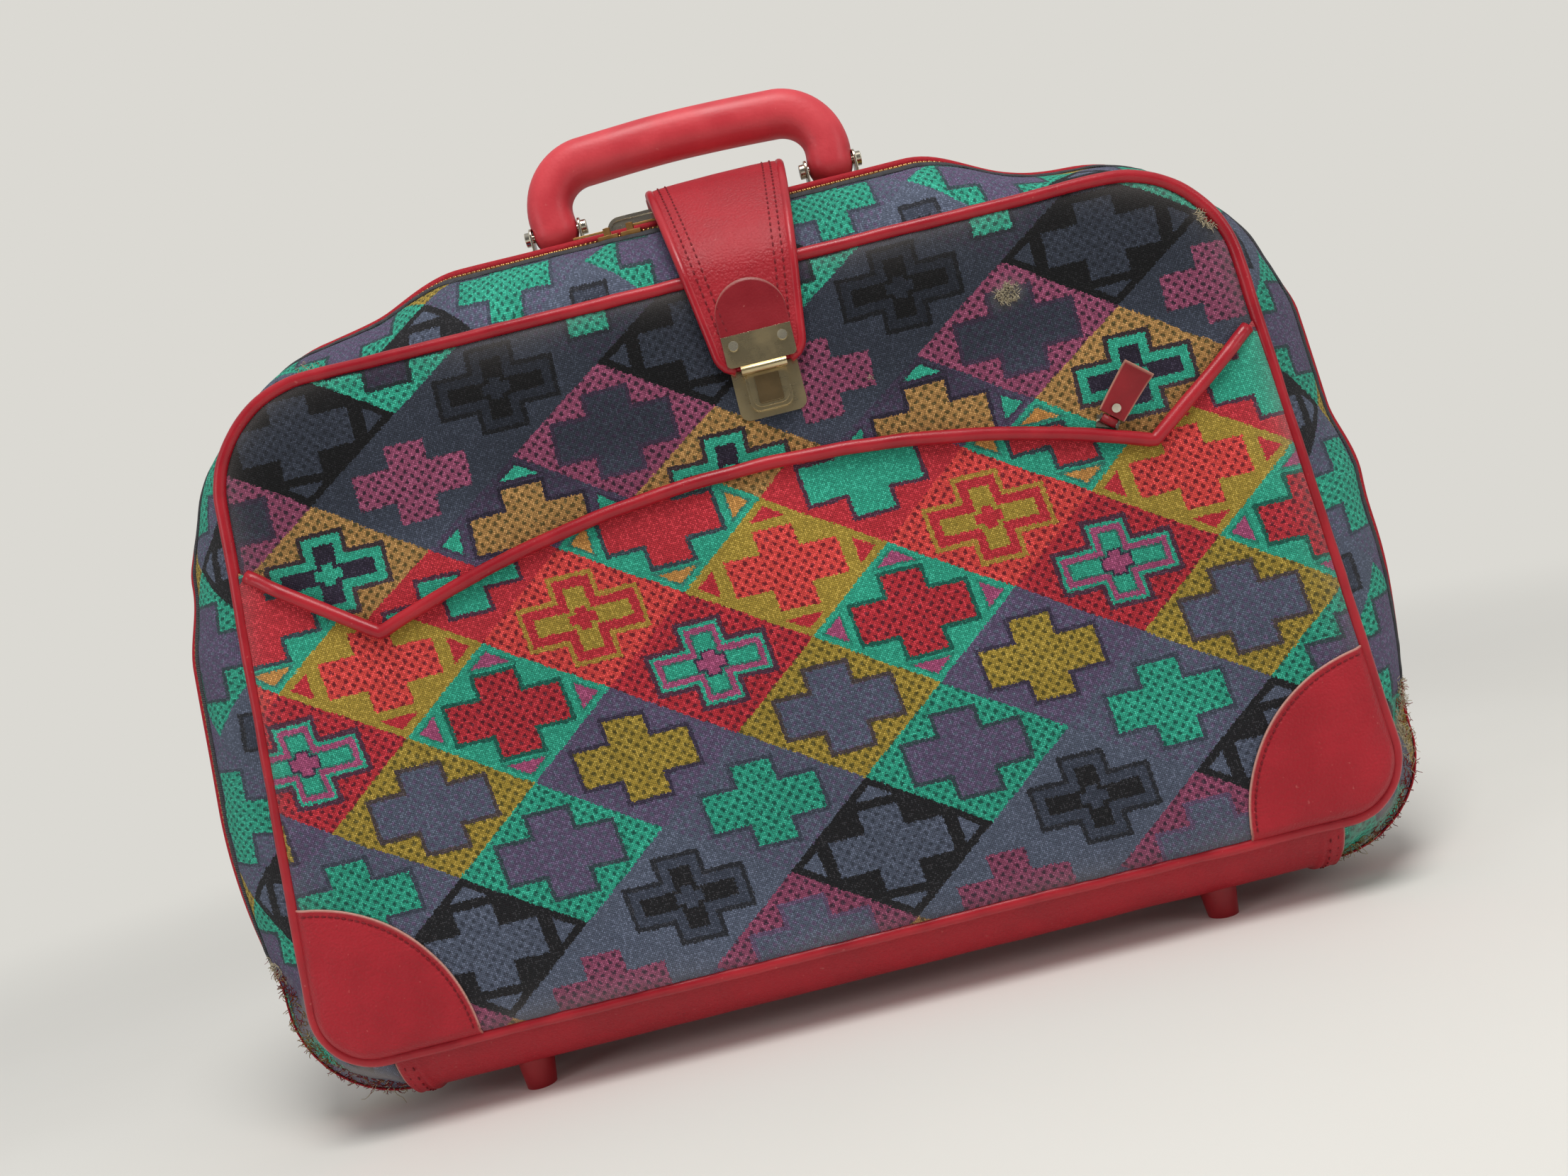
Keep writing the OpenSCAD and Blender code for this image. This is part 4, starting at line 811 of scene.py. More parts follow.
# nodes whose edges are rounded, by the width of the round
ROUNDS = {
    0.25: "zip_slider_left zip_slider_right zip_pull_left zip_pull_right",
    0.3: "handle_bracket handle_clip_left handle_clip_right pocket_slider pocket_tab_rivet",
    0.4: "hasp_plate foot_rivets handle_pin_left handle_pin_right",
    0.5: "lock_base bracket_rivets",
    0.7: "lock_button",
    0.8: "hasp_rivets",
    1.0: "foot_front_left foot_front_right foot_back_left foot_back_right",
}
ROUND_EDGE = {name: width for width, names in ROUNDS.items() for name in names.split()}
WELD_GAP = 0.004
SHARP = math.radians(35)
for name, solid in frame["nodes"].items():
    solid.data.materials.clear()
    solid.data.materials.append(FINISH_OF_NODE.get(name, FINISH_OF_SLOT[SLOT_OF[name]]))
    if name in ROUND_EDGE:
        weld = solid.modifiers.new("weld", "WELD")
        weld.merge_threshold = WELD_GAP * MM
        edge = solid.modifiers.new("round_edge", "BEVEL")
        edge.width = ROUND_EDGE[name] * MM
        edge.segments = 3
        edge.limit_method = "ANGLE"
        edge.angle_limit = SHARP
        # on plated metal the faces of the round get the brighter metal, a painted highlight along the edge
        if SLOT_OF[name] in ("lock_metal", "nickel"):
            solid.data.materials.append(HIGHLIGHT_METAL)
            edge.material = 1
print("solids that keep their shape:", len(ROUND_EDGE))

# %% [markdown]
# ## Front and back panels
# Each panel is cloth over thin wadding on a board. The cloth is drawn down to the piping all round, so
# the panel is slightly pillowed at its rim, and old glue and wear leave it a little uneven. A grid is
# hung between the lower and the upper edge of the outline and each point is set to its depth.

# %% Panels
FRONT = Vector((0, -1, 0))
BACK = Vector((0, 1, 0))
PANEL_WALL = 1.2
PANEL_GRID = (200, 130)
BACK_PRINT_X, BACK_PRINT_Z = 37, -20
TUCK, TUCK_START, TUCK_REACH = 2.6, 0.8, 5
PILLOW, PILLOW_REACH = 0.5, 40
PANEL_WAVES = ((0.55, 3, 70), (0.25, 9, 24))
PANEL_PUCKER = {"height": 0.22, "slope": 0.7, "pitch": 3.1, "wander": 2, "seed": 0, "length": 40, "reach": 7}
BACK_WAVES_APART = 400
SEAM_FLAT = 3
RUB, RUB_START, RUB_REACH = 0.3, 4, 5
BARE = 0.9


def tuck(gap):
    """How far the cloth is drawn down into a seam: 1 beside the piping, 0 a few millimetres away."""
    return max(0.0, 1 - max(0.0, gap - TUCK_START) / TUCK_REACH) ** 2


def pucker(x, z, gap, height, slope, pitch, wander, seed, length, reach):
    """Small gathers beside a seam, which fade out with the gap from it."""
    gathers = math.sin((x + slope * z) / pitch + wander * ripple(x, seed, z, length))
    return height * gathers * dwindle(gap, SEAM_FLAT, reach)


def panel_depth(x, z, apart=0):
    """How far the cloth lies behind the face of its panel; apart gives the second panel other waves."""
    gap = rim_gap(x, z)
    x += apart
    uneven = wavy(x, z, PANEL_WAVES) + pucker(x, z, gap, **PANEL_PUCKER)
    return TUCK * tuck(gap) - uneven * (1 - tuck(gap)) - PILLOW * ease(gap / PILLOW_REACH)


def rubbed_rim(x, z):
    """How much the cloth is rubbed bare: most along the piping, in patches."""
    patchy = clamp(0.6 + 0.9 * ripple(x, 30, z, 45))
    return RUB * dwindle(rim_gap(x, z), RUB_START, RUB_REACH) * patchy


# places where the front is worn through to its pale threads, with the length, width and slope of the spot
WORN_THROUGH = [(117.6, 273.8, 5.0, 3.8, 0.35), (203.6, 283.8, 5.6, 3.0, -0.8)]


def in_spot(x, z, spot):
    """Distance from the middle of a worn spot, as a share of its size."""
    cx, cz, length, width, slope = spot
    along = (x - cx) * math.cos(slope) + (z - cz) * math.sin(slope)
    across = (z - cz) * math.cos(slope) - (x - cx) * math.sin(slope)
    return math.hypot(along / length, across / width)


def rubbed_front(x, z):
    """The rubbed rim of the front panel together with its worn spots."""
    return max([rubbed_rim(x, z)] + [BARE * bell(in_spot(x, z, spot), 1) for spot in WORN_THROUGH])


front_panel = curtain(
    "front_panel_cloth", -CLOTH_HALF, CLOTH_HALF, *PANEL_GRID, panel_floor, panel_roof,
    lambda x, z: FRONT_FACE + panel_depth(x, z), FRONT, lambda x, z: (x, z), rubbed_front)
dress(thicken(front_panel, PANEL_WALL), PRINTED_CLOTH, "case", "printed_cloth", "front_cover")
back_panel = curtain(
    "back_panel_cloth", -CLOTH_HALF, CLOTH_HALF, *PANEL_GRID, panel_floor, panel_roof,
    lambda x, z: BACK_FACE - panel_depth(x, z, BACK_WAVES_APART), BACK,
    lambda x, z: (BACK_PRINT_X - x, BACK_PRINT_Z + z), rubbed_rim)
dress(thicken(back_panel, PANEL_WALL), PRINTED_CLOTH, "case", "printed_cloth", "back_cover")
print("panels of", len(front_panel.data.vertices), "points each")

# %% [markdown]
# ## Pocket and welt
# A second piece of the same cloth, cut off the lattice by a few degrees, covers the lower two thirds of
# the front. Its top edge is a shallow arch between two points, bound with a fat red welt.

# %% Pocket front and welt
POCKET_RISE, POCKET_WALL, POCKET_TUCK = 2.3, 0.9, 3.6
POCKET_FACE = FRONT_FACE - POCKET_RISE
POCKET_SAG = {"deep": 1.1, "start": 0, "ramp": 30, "end": 60, "fade": 110}
POCKET_WAVES = ((0.6, 21, 62), (0.25, 17, 22))
POCKET_PUCKER = {"height": 0.3, "slope": -0.6, "pitch": 2.9, "wander": 3, "seed": 5, "length": 30, "reach": 8}
WELT_GATHER = {"height": 0.25, "slope": 0, "pitch": 2.6, "wander": 2, "seed": 1, "length": 25, "reach": 9}
PRINT_PIVOT_Z, PRINT_START_Z, PRINT_SHIFT_X = 190, 174.7, 12.0
PRINT_SLANT_SHARE, PRINT_SQUEEZE_SHARE = 0.118, 0.955
WELT_R, WELT_RISE = 2.8, 3.6
WELT_Y = FRONT_FACE - WELT_RISE
ARCH_R = 463.373
CROWN_Z = 230.5
ARCH_Z = CROWN_Z - ARCH_R
POINT_X = 160.0
WELT_END = (205.2, 235.0)
POINT_Z = ARCH_Z + math.sqrt(ARCH_R**2 - POINT_X**2)


def welt_height(x):
    x = abs(x)
    if x <= POINT_X:
        return ARCH_Z + math.sqrt(ARCH_R * ARCH_R - x * x)
    return lerp(POINT_Z, WELT_END[1], (x - POINT_X) / (WELT_END[0] - POINT_X))


def pocket_roof(x):
    return min(welt_height(x), panel_roof(x))


def pocket_depth(x, z):
    """Depth of the pocket's cloth: gathered at its seams and the welt, sagging under its mouth."""
    gap = rim_gap(x, z)
    below = welt_height(x) - z
    gathers = pucker(x, z, gap, **POCKET_PUCKER) + pucker(x, z, below, **WELT_GATHER)
    slack = wavy(x, z, POCKET_WAVES) + gathers + dip(below, **POCKET_SAG)
    return POCKET_FACE + POCKET_TUCK * tuck(gap) - slack * (1 - tuck(gap))


def pocket_print(x, z):
    """Spot of the print on the pocket, which was cut a few degrees off the lattice."""
    up = z - PRINT_PIVOT_Z
    return (x - PRINT_SHIFT_X + up * PRINT_SLANT_SHARE, up * PRINT_SQUEEZE_SHARE + PRINT_START_Z)


pocket = curtain(
    "pocket_cloth", -CLOTH_HALF, CLOTH_HALF, 200, 110, panel_floor, pocket_roof, pocket_depth, FRONT,
    pocket_print, rubbed_rim)
dress(thicken(pocket, POCKET_WALL), PRINTED_CLOTH, "case", "printed_cloth", "pocket_front")

WELT_STEPS, WELT_OVERRUN = 200, 3
WELT_SINK, SINK_START, SINK_RAMP = 2.6, 196, 10
welt_half = WELT_END[0] + WELT_OVERRUN
welt_line = []
for i in range(WELT_STEPS + 1):
    x = lerp(welt_half, -welt_half, i / WELT_STEPS)
    sink = WELT_SINK * ease((abs(x) - SINK_START) / SINK_RAMP)
    y = WELT_Y + sink + 0.2 * ripple(x, 7, 0, 30)
    z = welt_height(x) + 0.35 * ripple(x, 2, 0, 18)
    welt_line.append((x, y, z, 1 + 0.04 * ripple(x, 4, 0, 12)))
welt = tube("pocket_welt_roll", [welt_line], WELT_R)
dress(welt, PIPED_VINYL, "case", "red_vinyl", "pocket_welt")
print("pocket of", round(area_of(pocket), 4), "square metres")

# %% [markdown]
# ## Corner patches
# Each lower corner of the pocket is covered by a quarter-round patch of grained vinyl, sewn with one row
# of stitches a few millimetres inside its curved edge. The cut edge shows the pale backing of the vinyl.

# %% Corner patches
PATCH_R = 68.0
PATCH_SEAM = 2.7
PATCH_WALL, PATCH_RISE, PATCH_CUT = 1.1, 1.15, 0.9
PATCH_STITCHES, STITCH_RIM_GAP = 36, 3.5
STITCH = grain_of_rice(2.3, 0.8, 0.8)


def patch_edge(x, z):
    """Distance of a point of a patch from its curved edge."""
    return PATCH_R - math.hypot(BOTTOM_W / 2 - abs(x), z - Z_LOW)


def patch_roof(x):
    return Z_LOW + math.sqrt(max(0.0, PATCH_R**2 - (BOTTOM_W / 2 - abs(x)) ** 2))


def patch_depth(x, z):
    """Depth of a patch: puffed up in its middle, drawn in along its seam and beside the piping."""
    edge = patch_edge(x, z)
    seam = 0.45 * bell(edge - PATCH_SEAM, 1)
    swell = 0.7 * ease(edge / 14) + 1.6 * ease((edge - 6) / 40) - seam
    free = 1 - max(0.0, 1 - rim_gap(x, z) / 15) ** 2
    return pocket_depth(x, z) - PATCH_RISE - (swell + 0.3 * ripple(x, 12, z, 16)) * free


for side, word in SIDES:
    inner = BOTTOM_W / 2 - PATCH_R + 0.4
    patch = curtain(
        "corner_patch_" + word + "_vinyl", side * inner, side * CLOTH_HALF, 64, 60, panel_floor, patch_roof,
        patch_depth, FRONT, rim=lambda x, z: clamp(1 - patch_edge(x, z) / PATCH_CUT))
    dress(thicken(patch, PATCH_WALL), GRAINED_VINYL, "case", "red_vinyl", "corner_patch_" + word)
    spots = []
    for i in range(PATCH_STITCHES):
        a = lerp(0.05, HALF_TURN - 0.06, i / (PATCH_STITCHES - 1))
        x = side * (BOTTOM_W / 2 - (PATCH_R - PATCH_SEAM) * math.cos(a))
        z = Z_LOW + (PATCH_R - PATCH_SEAM) * math.sin(a)
        if rim_gap(x, z) > STITCH_RIM_GAP:
            along = (side * math.sin(a), 0, math.cos(a))
            spots.append(frame_at((x, patch_depth(x, z) - 0.1, z), along, FRONT))
    stitches = row("corner_stitches_" + word, spots, STITCH)
    dress(stitches, SEWING_THREAD, "case", "red_vinyl")
    print(word, "patch with", len(spots), "stitches")

# %% [markdown]
# ## Piping
# A cord covered in vinyl is sewn into the seam all round each panel. It is never quite even: it swells
# and dips a little, and its two ends meet under the base.

# %% Piping
loop = OVER + [(-LOW_CX, Z_LOW, -HALF_TURN)] + BASE_RUN
for name, y, node, seed in (
    ("front_piping_roll", FRONT_SEAM, "front_piping", 0), ("back_piping_roll", BACK_SEAM, "back_piping", 50),
):
    run = []
    for x, z, a in loop:
        out = wavy(x, z, ((0.35, seed, 28), (0.15, seed + 8, 9)))
        run.append((
            x + out * math.cos(a), y + 0.3 * ripple(x, seed + 3, z, 24), z + out * math.sin(a),
            1 + 0.05 * ripple(x, seed + 5, z, 14)))
    dress(tube(name, [run], PIPING_R, closed=True, steps=6), PIPED_VINYL, "case", "red_vinyl", node)
print("piping of", len(loop), "stations")

# %% [markdown]
# ## Gusset
# The side band bulges between the two panels because nothing stiffens it. It is a skin over the girth of
# the case: one way runs round the outline, the other from front to back. The bulge follows the solid, and
# slow waves and small puckers at the seams are added to it.

# %% Gusset halves
GUSSET_HALF = 48.8
GUSSET_STEPS, FRONT_ROWS, BACK_ROWS = 330, 22, 36
LIP = 1.0
ZIP_Y, ZIP_HALF = -12.0, 7.3
ZIP_EDGE, BACK_ZIP_EDGE = ZIP_Y - ZIP_HALF, ZIP_Y + ZIP_HALF
ZIP_CALM = 14
SWELL_SHARE = 0.3
BASE_DROP, CORNER_BULGE, SIDE_BULGE, TOP_BULGE, SHOULDER_BULGE = 23, 26, 40, 37, 14
BASE_POWER, SIDE_POWER = 5.0, 2.2
SHOULDER_HALF = TOP_R * (HALF_TURN - LEAN) / 2
SHOULDER_SIDE, SHOULDER_TOP = 60.0, 95.0
SHOULDER_Z = high_arc[0][1]
# dips of the empty cloth on the left and on the right: beside the handle, below the shoulders, and lower down
SLUMP_TOP_Z = HIGH_CZ + 0.9 * TOP_R
TOP_SLUMP = ((5, 103, 42, 135, 45), (10, 98, 42, 142, 50))
SIDE_SLUMP = ((6, 205, 35, 250, 34), (7, 165, 35, 250, 34))
LOW_SLUMP = ((0, 45, 30, 150, 40), (3, 45, 30, 150, 40))


def slump(x, z):
    """How far the empty case has sunk from its full form."""
    right = x > 0
    if z > SLUMP_TOP_Z:
        return dip(abs(x), *TOP_SLUMP[right])
    return dip(z, *SIDE_SLUMP[right]) + dip(z, *LOW_SLUMP[right])


def gusset_bulge(x, z, a):
    """Swell of the gusset: full over the top and at the sides, less at the tight corners."""
    facing = a if x >= 0 else math.pi - a
    low_turn = min(1.0, (facing + HALF_TURN) / (HALF_TURN + LEAN))
    high_turn = max(0.0, (facing - LEAN) / (HALF_TURN - LEAN))
    rise = math.sin(HALF_TURN * clamp((z - LOW_CZ) / (PANEL_H * SWELL_SHARE)))
    if abs(x) < HIGH_CX:
        way = SHOULDER_HALF + HIGH_CX - abs(x)
    elif z < SHOULDER_Z:
        way = SHOULDER_HALF + (SHOULDER_Z - z) / math.cos(LEAN)
    else:
        way = SHOULDER_HALF * abs(2 * high_turn - 1)
    crest, reach = (TOP_BULGE, SHOULDER_TOP) if high_turn > 0.5 else (SIDE_BULGE, SHOULDER_SIDE)
    high = lerp(SHOULDER_BULGE, crest, ease(way / reach))
    return lerp(lerp(BASE_DROP, CORNER_BULGE, low_turn), high, rise) - slump(x, z), low_turn


def gusset_reach(x, z, a, y):
    """How far the gusset stands out from the outline at a distance y from its middle."""
    bulge, low_turn = gusset_bulge(x, z, a)
    power = lerp(BASE_POWER, SIDE_POWER, clamp(low_turn))
    return LIP + bulge * (1 - min(1.0, abs(y) / GUSSET_HALF) ** power)


def gusset_waves(x, z, y):
    """Folds of the slack cloth: none at the seams and the zip, more at the sides."""
    slack = (1 - (y / GUSSET_HALF) ** 2) * clamp(abs(y - ZIP_Y) / ZIP_CALM - 0.3)
    gap = GUSSET_HALF - abs(y)
    seam = math.exp(-gap / 6) * clamp(gap / 2)
    folds = 1.6 * ripple(x, 0.35 * y, z, 34, 3) + 0.7 * ripple(x, 0.6 * y, z, 13, 5)
    return slack * folds + 0.5 * seam * math.sin((x + z) / 2.7 + 3 * ripple(x, y, z, 30, 9))


CORNER_STRETCH, CORNER_PINCH = 62.0, 5.5
WEAR_START, WEAR_RAMP, WEAR_FADE = -6, 12, 26


def corner_wear(share):
    """How worn the gusset is at a share of its length: most at the two lower corners."""
    way = min(share, 1 - share) * OVER_LENGTH
    return ease((way - WEAR_START) / WEAR_RAMP) * ease((CORNER_STRETCH - way) / WEAR_FADE)


def corner_pinch(share, y):
    """The worn front half is drawn in between the piping and the zip."""
    k = clamp((y + GUSSET_HALF) / (GUSSET_HALF + ZIP_EDGE))
    return CORNER_PINCH * corner_wear(share) * math.sin(math.pi * k)


def on_gusset(share, y, lift=0.0, soft=True):
    """Point of the gusset at a share of its length, lifted off it, with or without its folds."""
    x, z, a = station(share)
    folds = gusset_waves(x, z, y) - corner_pinch(share, y) if soft else 0.0
    out = gusset_reach(x, z, a, y) + lift + folds
    return (x + out * math.cos(a), Y_MID + y, z + out * math.sin(a))


CASE_HEART = Vector((0, Y_MID, 180)) * MM


def away_from_heart(place):
    return Vector((place.x - CASE_HEART.x, 0, place.z - CASE_HEART.z))


RAW_Y, RAW_HALF, RAW_WALL, RAW_LENGTH = -19.4, 2.2, 0.6, 1100
RAW_GRID = (560, 8)
GUSSET_WALL = 1.4
GIRTH_SHARE, BULGE_SHARE = 1.2, 1.25
GUSSET_PRINT_X, GUSSET_PRINT_Z = -560, 118


def on_raw_edge(s, t):
    """Doubled edge of the front half, worn dark, standing a little off the zip."""
    side = lerp(-1, 1, t)
    way = RAW_LENGTH * s
    fringe = wavy(way, 0, ((0.6, 5, 3), (0.5, 8, 11)))
    lift = 0.9 * (1 - side * side) + 0.35 + 0.3 * ripple(way, 3 * side, 0, 7) - 2.6 * corner_wear(s)
    return on_gusset(s, RAW_Y + side * RAW_HALF + (fringe if side > 0 else 0.0), lift)


def worn_corner(s, y):
    """How bare the gusset is: worn at both lower corners, in streaks."""
    return 0.8 * corner_wear(s) * clamp(0.45 + 1.4 * ripple(s * OVER_LENGTH, 0.6 * y, s, 9))


raw_edge = skin("zip_edge_cloth", *RAW_GRID, on_raw_edge, away_from_heart)
dress(thicken(raw_edge, RAW_WALL), RAW_EDGE, "case", "printed_cloth")
for name, y0, y1, rows, node, seam, hems in (
    ("front_gusset_cloth", -GUSSET_HALF, ZIP_EDGE, FRONT_ROWS,
     "front_gusset", "front_piping_roll", [raw_edge]),
    ("back_gusset_cloth", BACK_ZIP_EDGE, GUSSET_HALF, BACK_ROWS,
     "back_gusset", "back_piping_roll", []),
):
    piece = skin(
        name, GUSSET_STEPS, rows, lambda s, t: on_gusset(s, lerp(y0, y1, t)), away_from_heart,
        lambda s, t: (s * OVER_LENGTH * GIRTH_SHARE + GUSSET_PRINT_X, lerp(y0, y1, t) + GUSSET_PRINT_Z),
        rim=lambda s, t: worn_corner(s, lerp(y0, y1, t)))
    dress(thicken(piece, GUSSET_WALL), PRINTED_CLOTH, "case", "printed_cloth", node)
    width = (y1 - y0) * BULGE_SHARE * MM

# %% [markdown]
# ## Base strip
# The bottom of the case is one strip of grained vinyl from front to back. It ends at the lower corners,
# where it is turned under and sewn down with two rows of stitches over the end of the gusset.

# %% Base strip
STRIP_HALF = 200.468
STRIP_WALL, STRIP_CUT, STRIP_GRID = 1.3, 0.8, (420, 70)
HEM_W, HEM_RISE, HEM_TURN, HEM_DROP = 11, 1.5, 1.8, 2.2
STRIP_SLITS, STRIP_SEAMS, STRIP_STITCHES = (3.4, 7.6), (3.2, 6.6), 30


def on_strip(s, t):
    """Point of the strip: hemmed and slit at its ends, drawn in along the piping."""
    x = lerp(-STRIP_HALF, STRIP_HALF, s)
    y = lerp(-GUSSET_HALF, GUSSET_HALF, t)
    end = STRIP_HALF - abs(x)
    hem = HEM_RISE * ease((HEM_W - end) / HEM_RISE) - HEM_DROP * ease((HEM_TURN - end) / HEM_TURN)
    slit = sum(0.9 * bell(end - gap, 0.45) for gap in STRIP_SLITS)
    groove = 1.6 * bell(GUSSET_HALF - abs(y), 1.6)
    wave = 0.35 * ripple(x, y, 0, 26) * (1 - (y / GUSSET_HALF) ** 8)
    out = gusset_reach(0, Z_LOW, -HALF_TURN, y) + hem - slit - groove + wave
    return (x, Y_MID + y, Z_LOW - out)


DOWN = Vector((0, 0, -1))
strip = skin(
    "base_strip_vinyl", *STRIP_GRID, on_strip, lambda place: DOWN,
    rim=lambda s, t: clamp(1 - min(s, 1 - s) * 2 * STRIP_HALF / STRIP_CUT))
dress(thicken(strip, STRIP_WALL), GRAINED_VINYL, "case", "red_vinyl", "bottom_strip")
spots = []
for side in (-1, 1):
    for inset in STRIP_SEAMS:
        for i in range(STRIP_STITCHES):
            t = lerp(0.03, 0.97, i / (STRIP_STITCHES - 1))
            s = 0.5 + side * (STRIP_HALF - inset) / STRIP_HALF / 2
            here, there = Vector(on_strip(s, t)), Vector(on_strip(s, t + 0.01))
            along = there - here
            spots.append(frame_at(here, along, along.cross(Vector((1, 0, 0))) * -1))
dress(row("base_strip_stitches", spots, STITCH), SEWING_THREAD, "case", "red_vinyl")
print("base strip with", len(spots), "stitches")

# %% [markdown]
# ## Main zip
# Two red tapes carry small metal teeth that lock into each other. A tape is a narrow skin just under the
# gusset's surface, and one tooth is modelled once and copied along each side, half a step apart.

# %% Zip tapes and teeth
TOOTH_PITCH = 2.6
TOOTH_SIZE, TOOTH_BEVEL, TOOTH_Y = (1.25, 3.3, 1.5), 0.28, 0.95
TAPE_NEAR, TAPE_FAR, TAPE_SINK, TAPE_WALL = 1.2, 8.6, 0.9, 0.7
TAPE_ROLL_Y, TAPE_ROLL_R = -5.6, 2.0


def on_tape(s, t, y0, y1):
    """Point of a tape, just under the gusset; the front one stands up at the worn corners."""
    lift = -TAPE_SINK - 0.25 * ripple(400 * s, y0, t, 9) + 1.5 * corner_wear(s) * (y0 < ZIP_EDGE)
    return on_gusset(s, lerp(y0, y1, t), lift, False)


for name, y0, y1, node in (
    ("front_zip_tape", ZIP_Y - TAPE_FAR, ZIP_Y - TAPE_NEAR, "zip_tape_front"),
    ("back_zip_tape", ZIP_Y + TAPE_NEAR, ZIP_Y + TAPE_FAR, "zip_tape_back"),
):
    tape = skin(name, 300, 6, lambda s, t: on_tape(s, t, y0, y1), away_from_heart)
    dress(thicken(tape, TAPE_WALL), ZIP_TAPE, "case", "red_tape", node)
ROLL_STEPS = 320
roll = []
for i in range(2, ROLL_STEPS - 1):
    y = TAPE_ROLL_Y + 0.3 * ripple(3 * i, 1, 2, 40)
    lift = TAPE_ROLL_R + 0.35 * ripple(3 * i, 4, 2, 60)
    roll.append((*on_gusset(i / ROLL_STEPS, y, lift, False), 1 + 0.1 * ripple(3 * i, 9, 0, 30)))
dress(tube("zip_tape_roll", [roll], TAPE_ROLL_R, steps=3), ZIP_TAPE, "case", "red_tape")


def round_edges(bm, edges, offset, segments):
    bmesh.ops.bevel(
        bm, geom=edges, offset=offset * MM, offset_type="OFFSET", segments=segments, profile=0.5,
        affect="EDGES", material=-1)


def tooth_shape():
    bm = bmesh.new()
    bmesh.ops.create_cube(bm, size=1, matrix=Matrix.Diagonal((*(v * MM for v in TOOTH_SIZE), 1)))
    round_edges(bm, bm.edges, TOOTH_BEVEL, 1)
    return new_mesh("tooth_shape", bm)


TOOTH = tooth_shape()
tooth_count = int(OVER_LENGTH * GIRTH_SHARE / TOOTH_PITCH)
for side, word in ((-1, "front"), (1, "back")):
    spots = []
    for i in range(tooth_count):
        share = (i + (0.5 if side > 0 else 0.0) + 0.4) / (tooth_count + 1)
        here = Vector(on_gusset(share, ZIP_Y + side * TOOTH_Y, 0.05, False))
        there = Vector(on_gusset(min(1.0, share + 0.001), ZIP_Y + side * TOOTH_Y, 0.05, False))
        if (there - here).length > 1e-6:
            spots.append(frame_at(here, there - here, away_from_heart(here * MM)))
    teeth = row(word + "_zip_teeth", spots, TOOTH)
    dress(teeth, ZIP_BRASS, "case", "zip_metal", "zip_teeth_" + word)
print("zip with", 2 * tooth_count, "teeth")

# %% [markdown]
# ## Strap
# The strap comes up from the back, arches over the handle's bracket and narrows on its way down to the
# hasp. Its line is followed point by point, and round each point lies a flat, softly padded section.

# %% Strap, beads and stitches
STRAP_X = 15.0
STRAP_T, STRAP_GRID = 3.0, (130, 40)
STRAP_RISE = 2.3
STRAP_FRONT, STRAP_BACK = FRONT_FACE - STRAP_RISE, BACK_FACE + STRAP_RISE
STRAP_TURN_Z, STRAP_BACK_END, STRAP_TOP, STRAP_END = 308.0, 268.0, 362.9, 269.0
BRACKET_Y = Y_MID + 4
STRAP_TOP_W, STRAP_LOW_W = 64.0, 39.0
STRAP_OVER = STRAP_TOP + STRAP_T
STRAP_BACK_R, STRAP_FRONT_R = 14.0, 9.0
RISE_SHARE, REACH_SHARE = 0.29, 0.47
BEAD_R, STRAP_SEAMS, STRAP_STITCH_PITCH = 2.0, (6.0, 9.4), 3.1


def strap_bend(y):
    """Curve of the strap from one face of the case up to the middle of the bracket."""
    points = [
        Vector((y, STRAP_TURN_Z)), Vector((y, lerp(STRAP_TURN_Z, STRAP_TOP, RISE_SHARE))),
        Vector((lerp(BRACKET_Y, y, REACH_SHARE), STRAP_TOP)), Vector((BRACKET_Y, STRAP_TOP))]
    bend = []
    for i in range(31):
        k = i / 30
        weights = ((1 - k) ** 3, 3 * k * (1 - k) ** 2, 3 * k * k * (1 - k), k**3)
        bend.append(sum((p * w for p, w in zip(points, weights)), Vector((0, 0))))
    return bend


back_bend, front_bend = strap_bend(STRAP_BACK), strap_bend(STRAP_FRONT)
STRAP_LINE = [Vector((STRAP_BACK, lerp(STRAP_BACK_END, STRAP_TURN_Z, i / 20))) for i in range(20)] + back_bend
STRAP_LINE += list(reversed(front_bend))[1:]
STRAP_LINE += [Vector((STRAP_FRONT, lerp(STRAP_TURN_Z, STRAP_END, i / 20))) for i in range(1, 21)]
strap_lengths = [0.0]
for here, there in zip(STRAP_LINE, STRAP_LINE[1:]):
    strap_lengths.append(strap_lengths[-1] + (there - here).length)
STRAP_LENGTH = strap_lengths[-1]


def strap_at(length):
    """Point of the strap's under side, and the way outwards there, at a length from its back end."""
    length = min(max(length, 0.0), STRAP_LENGTH)
    i, k = step_at(strap_lengths, length)
    point = STRAP_LINE[i].lerp(STRAP_LINE[i + 1], k)
    before, after = STRAP_LINE[max(0, i - 1)], STRAP_LINE[min(len(STRAP_LINE) - 1, i + 2)]
    run = (after - before).normalized()
    return point, Vector((run.y, -run.x))


def strap_half(length, point):
    """Half width of the strap: full over the top and behind, narrowing in front, round at both ends."""
    half_w = STRAP_TOP_W / 2
    if point.x < BRACKET_Y:
        low = STRAP_END + STRAP_FRONT_R
        half_w = lerp(STRAP_LOW_W, STRAP_TOP_W, clamp((point.y - low) / (STRAP_OVER - low))) / 2
    for gap, r in ((length, STRAP_BACK_R), (STRAP_LENGTH - length, STRAP_FRONT_R)):
        if gap < r:
            half_w += math.sqrt(max(0.0, r * r - (r - gap) ** 2)) - r
    return half_w


def strap_place(length, across, depth):
    """Point on the strap: across from -1 to 1, depth from 0 under it to 1 on top."""
    point, out = strap_at(length)
    half_w = strap_half(length, point)
    crown = 0.7 * (1 - across * across) * ease(min(length, STRAP_LENGTH - length) / 20) * depth
    wave = 0.3 * ripple(length, across * 20, depth, 26) * depth
    spot = point + out * (depth * STRAP_T + crown + wave)
    return (STRAP_X + across * half_w, spot.x, spot.y)


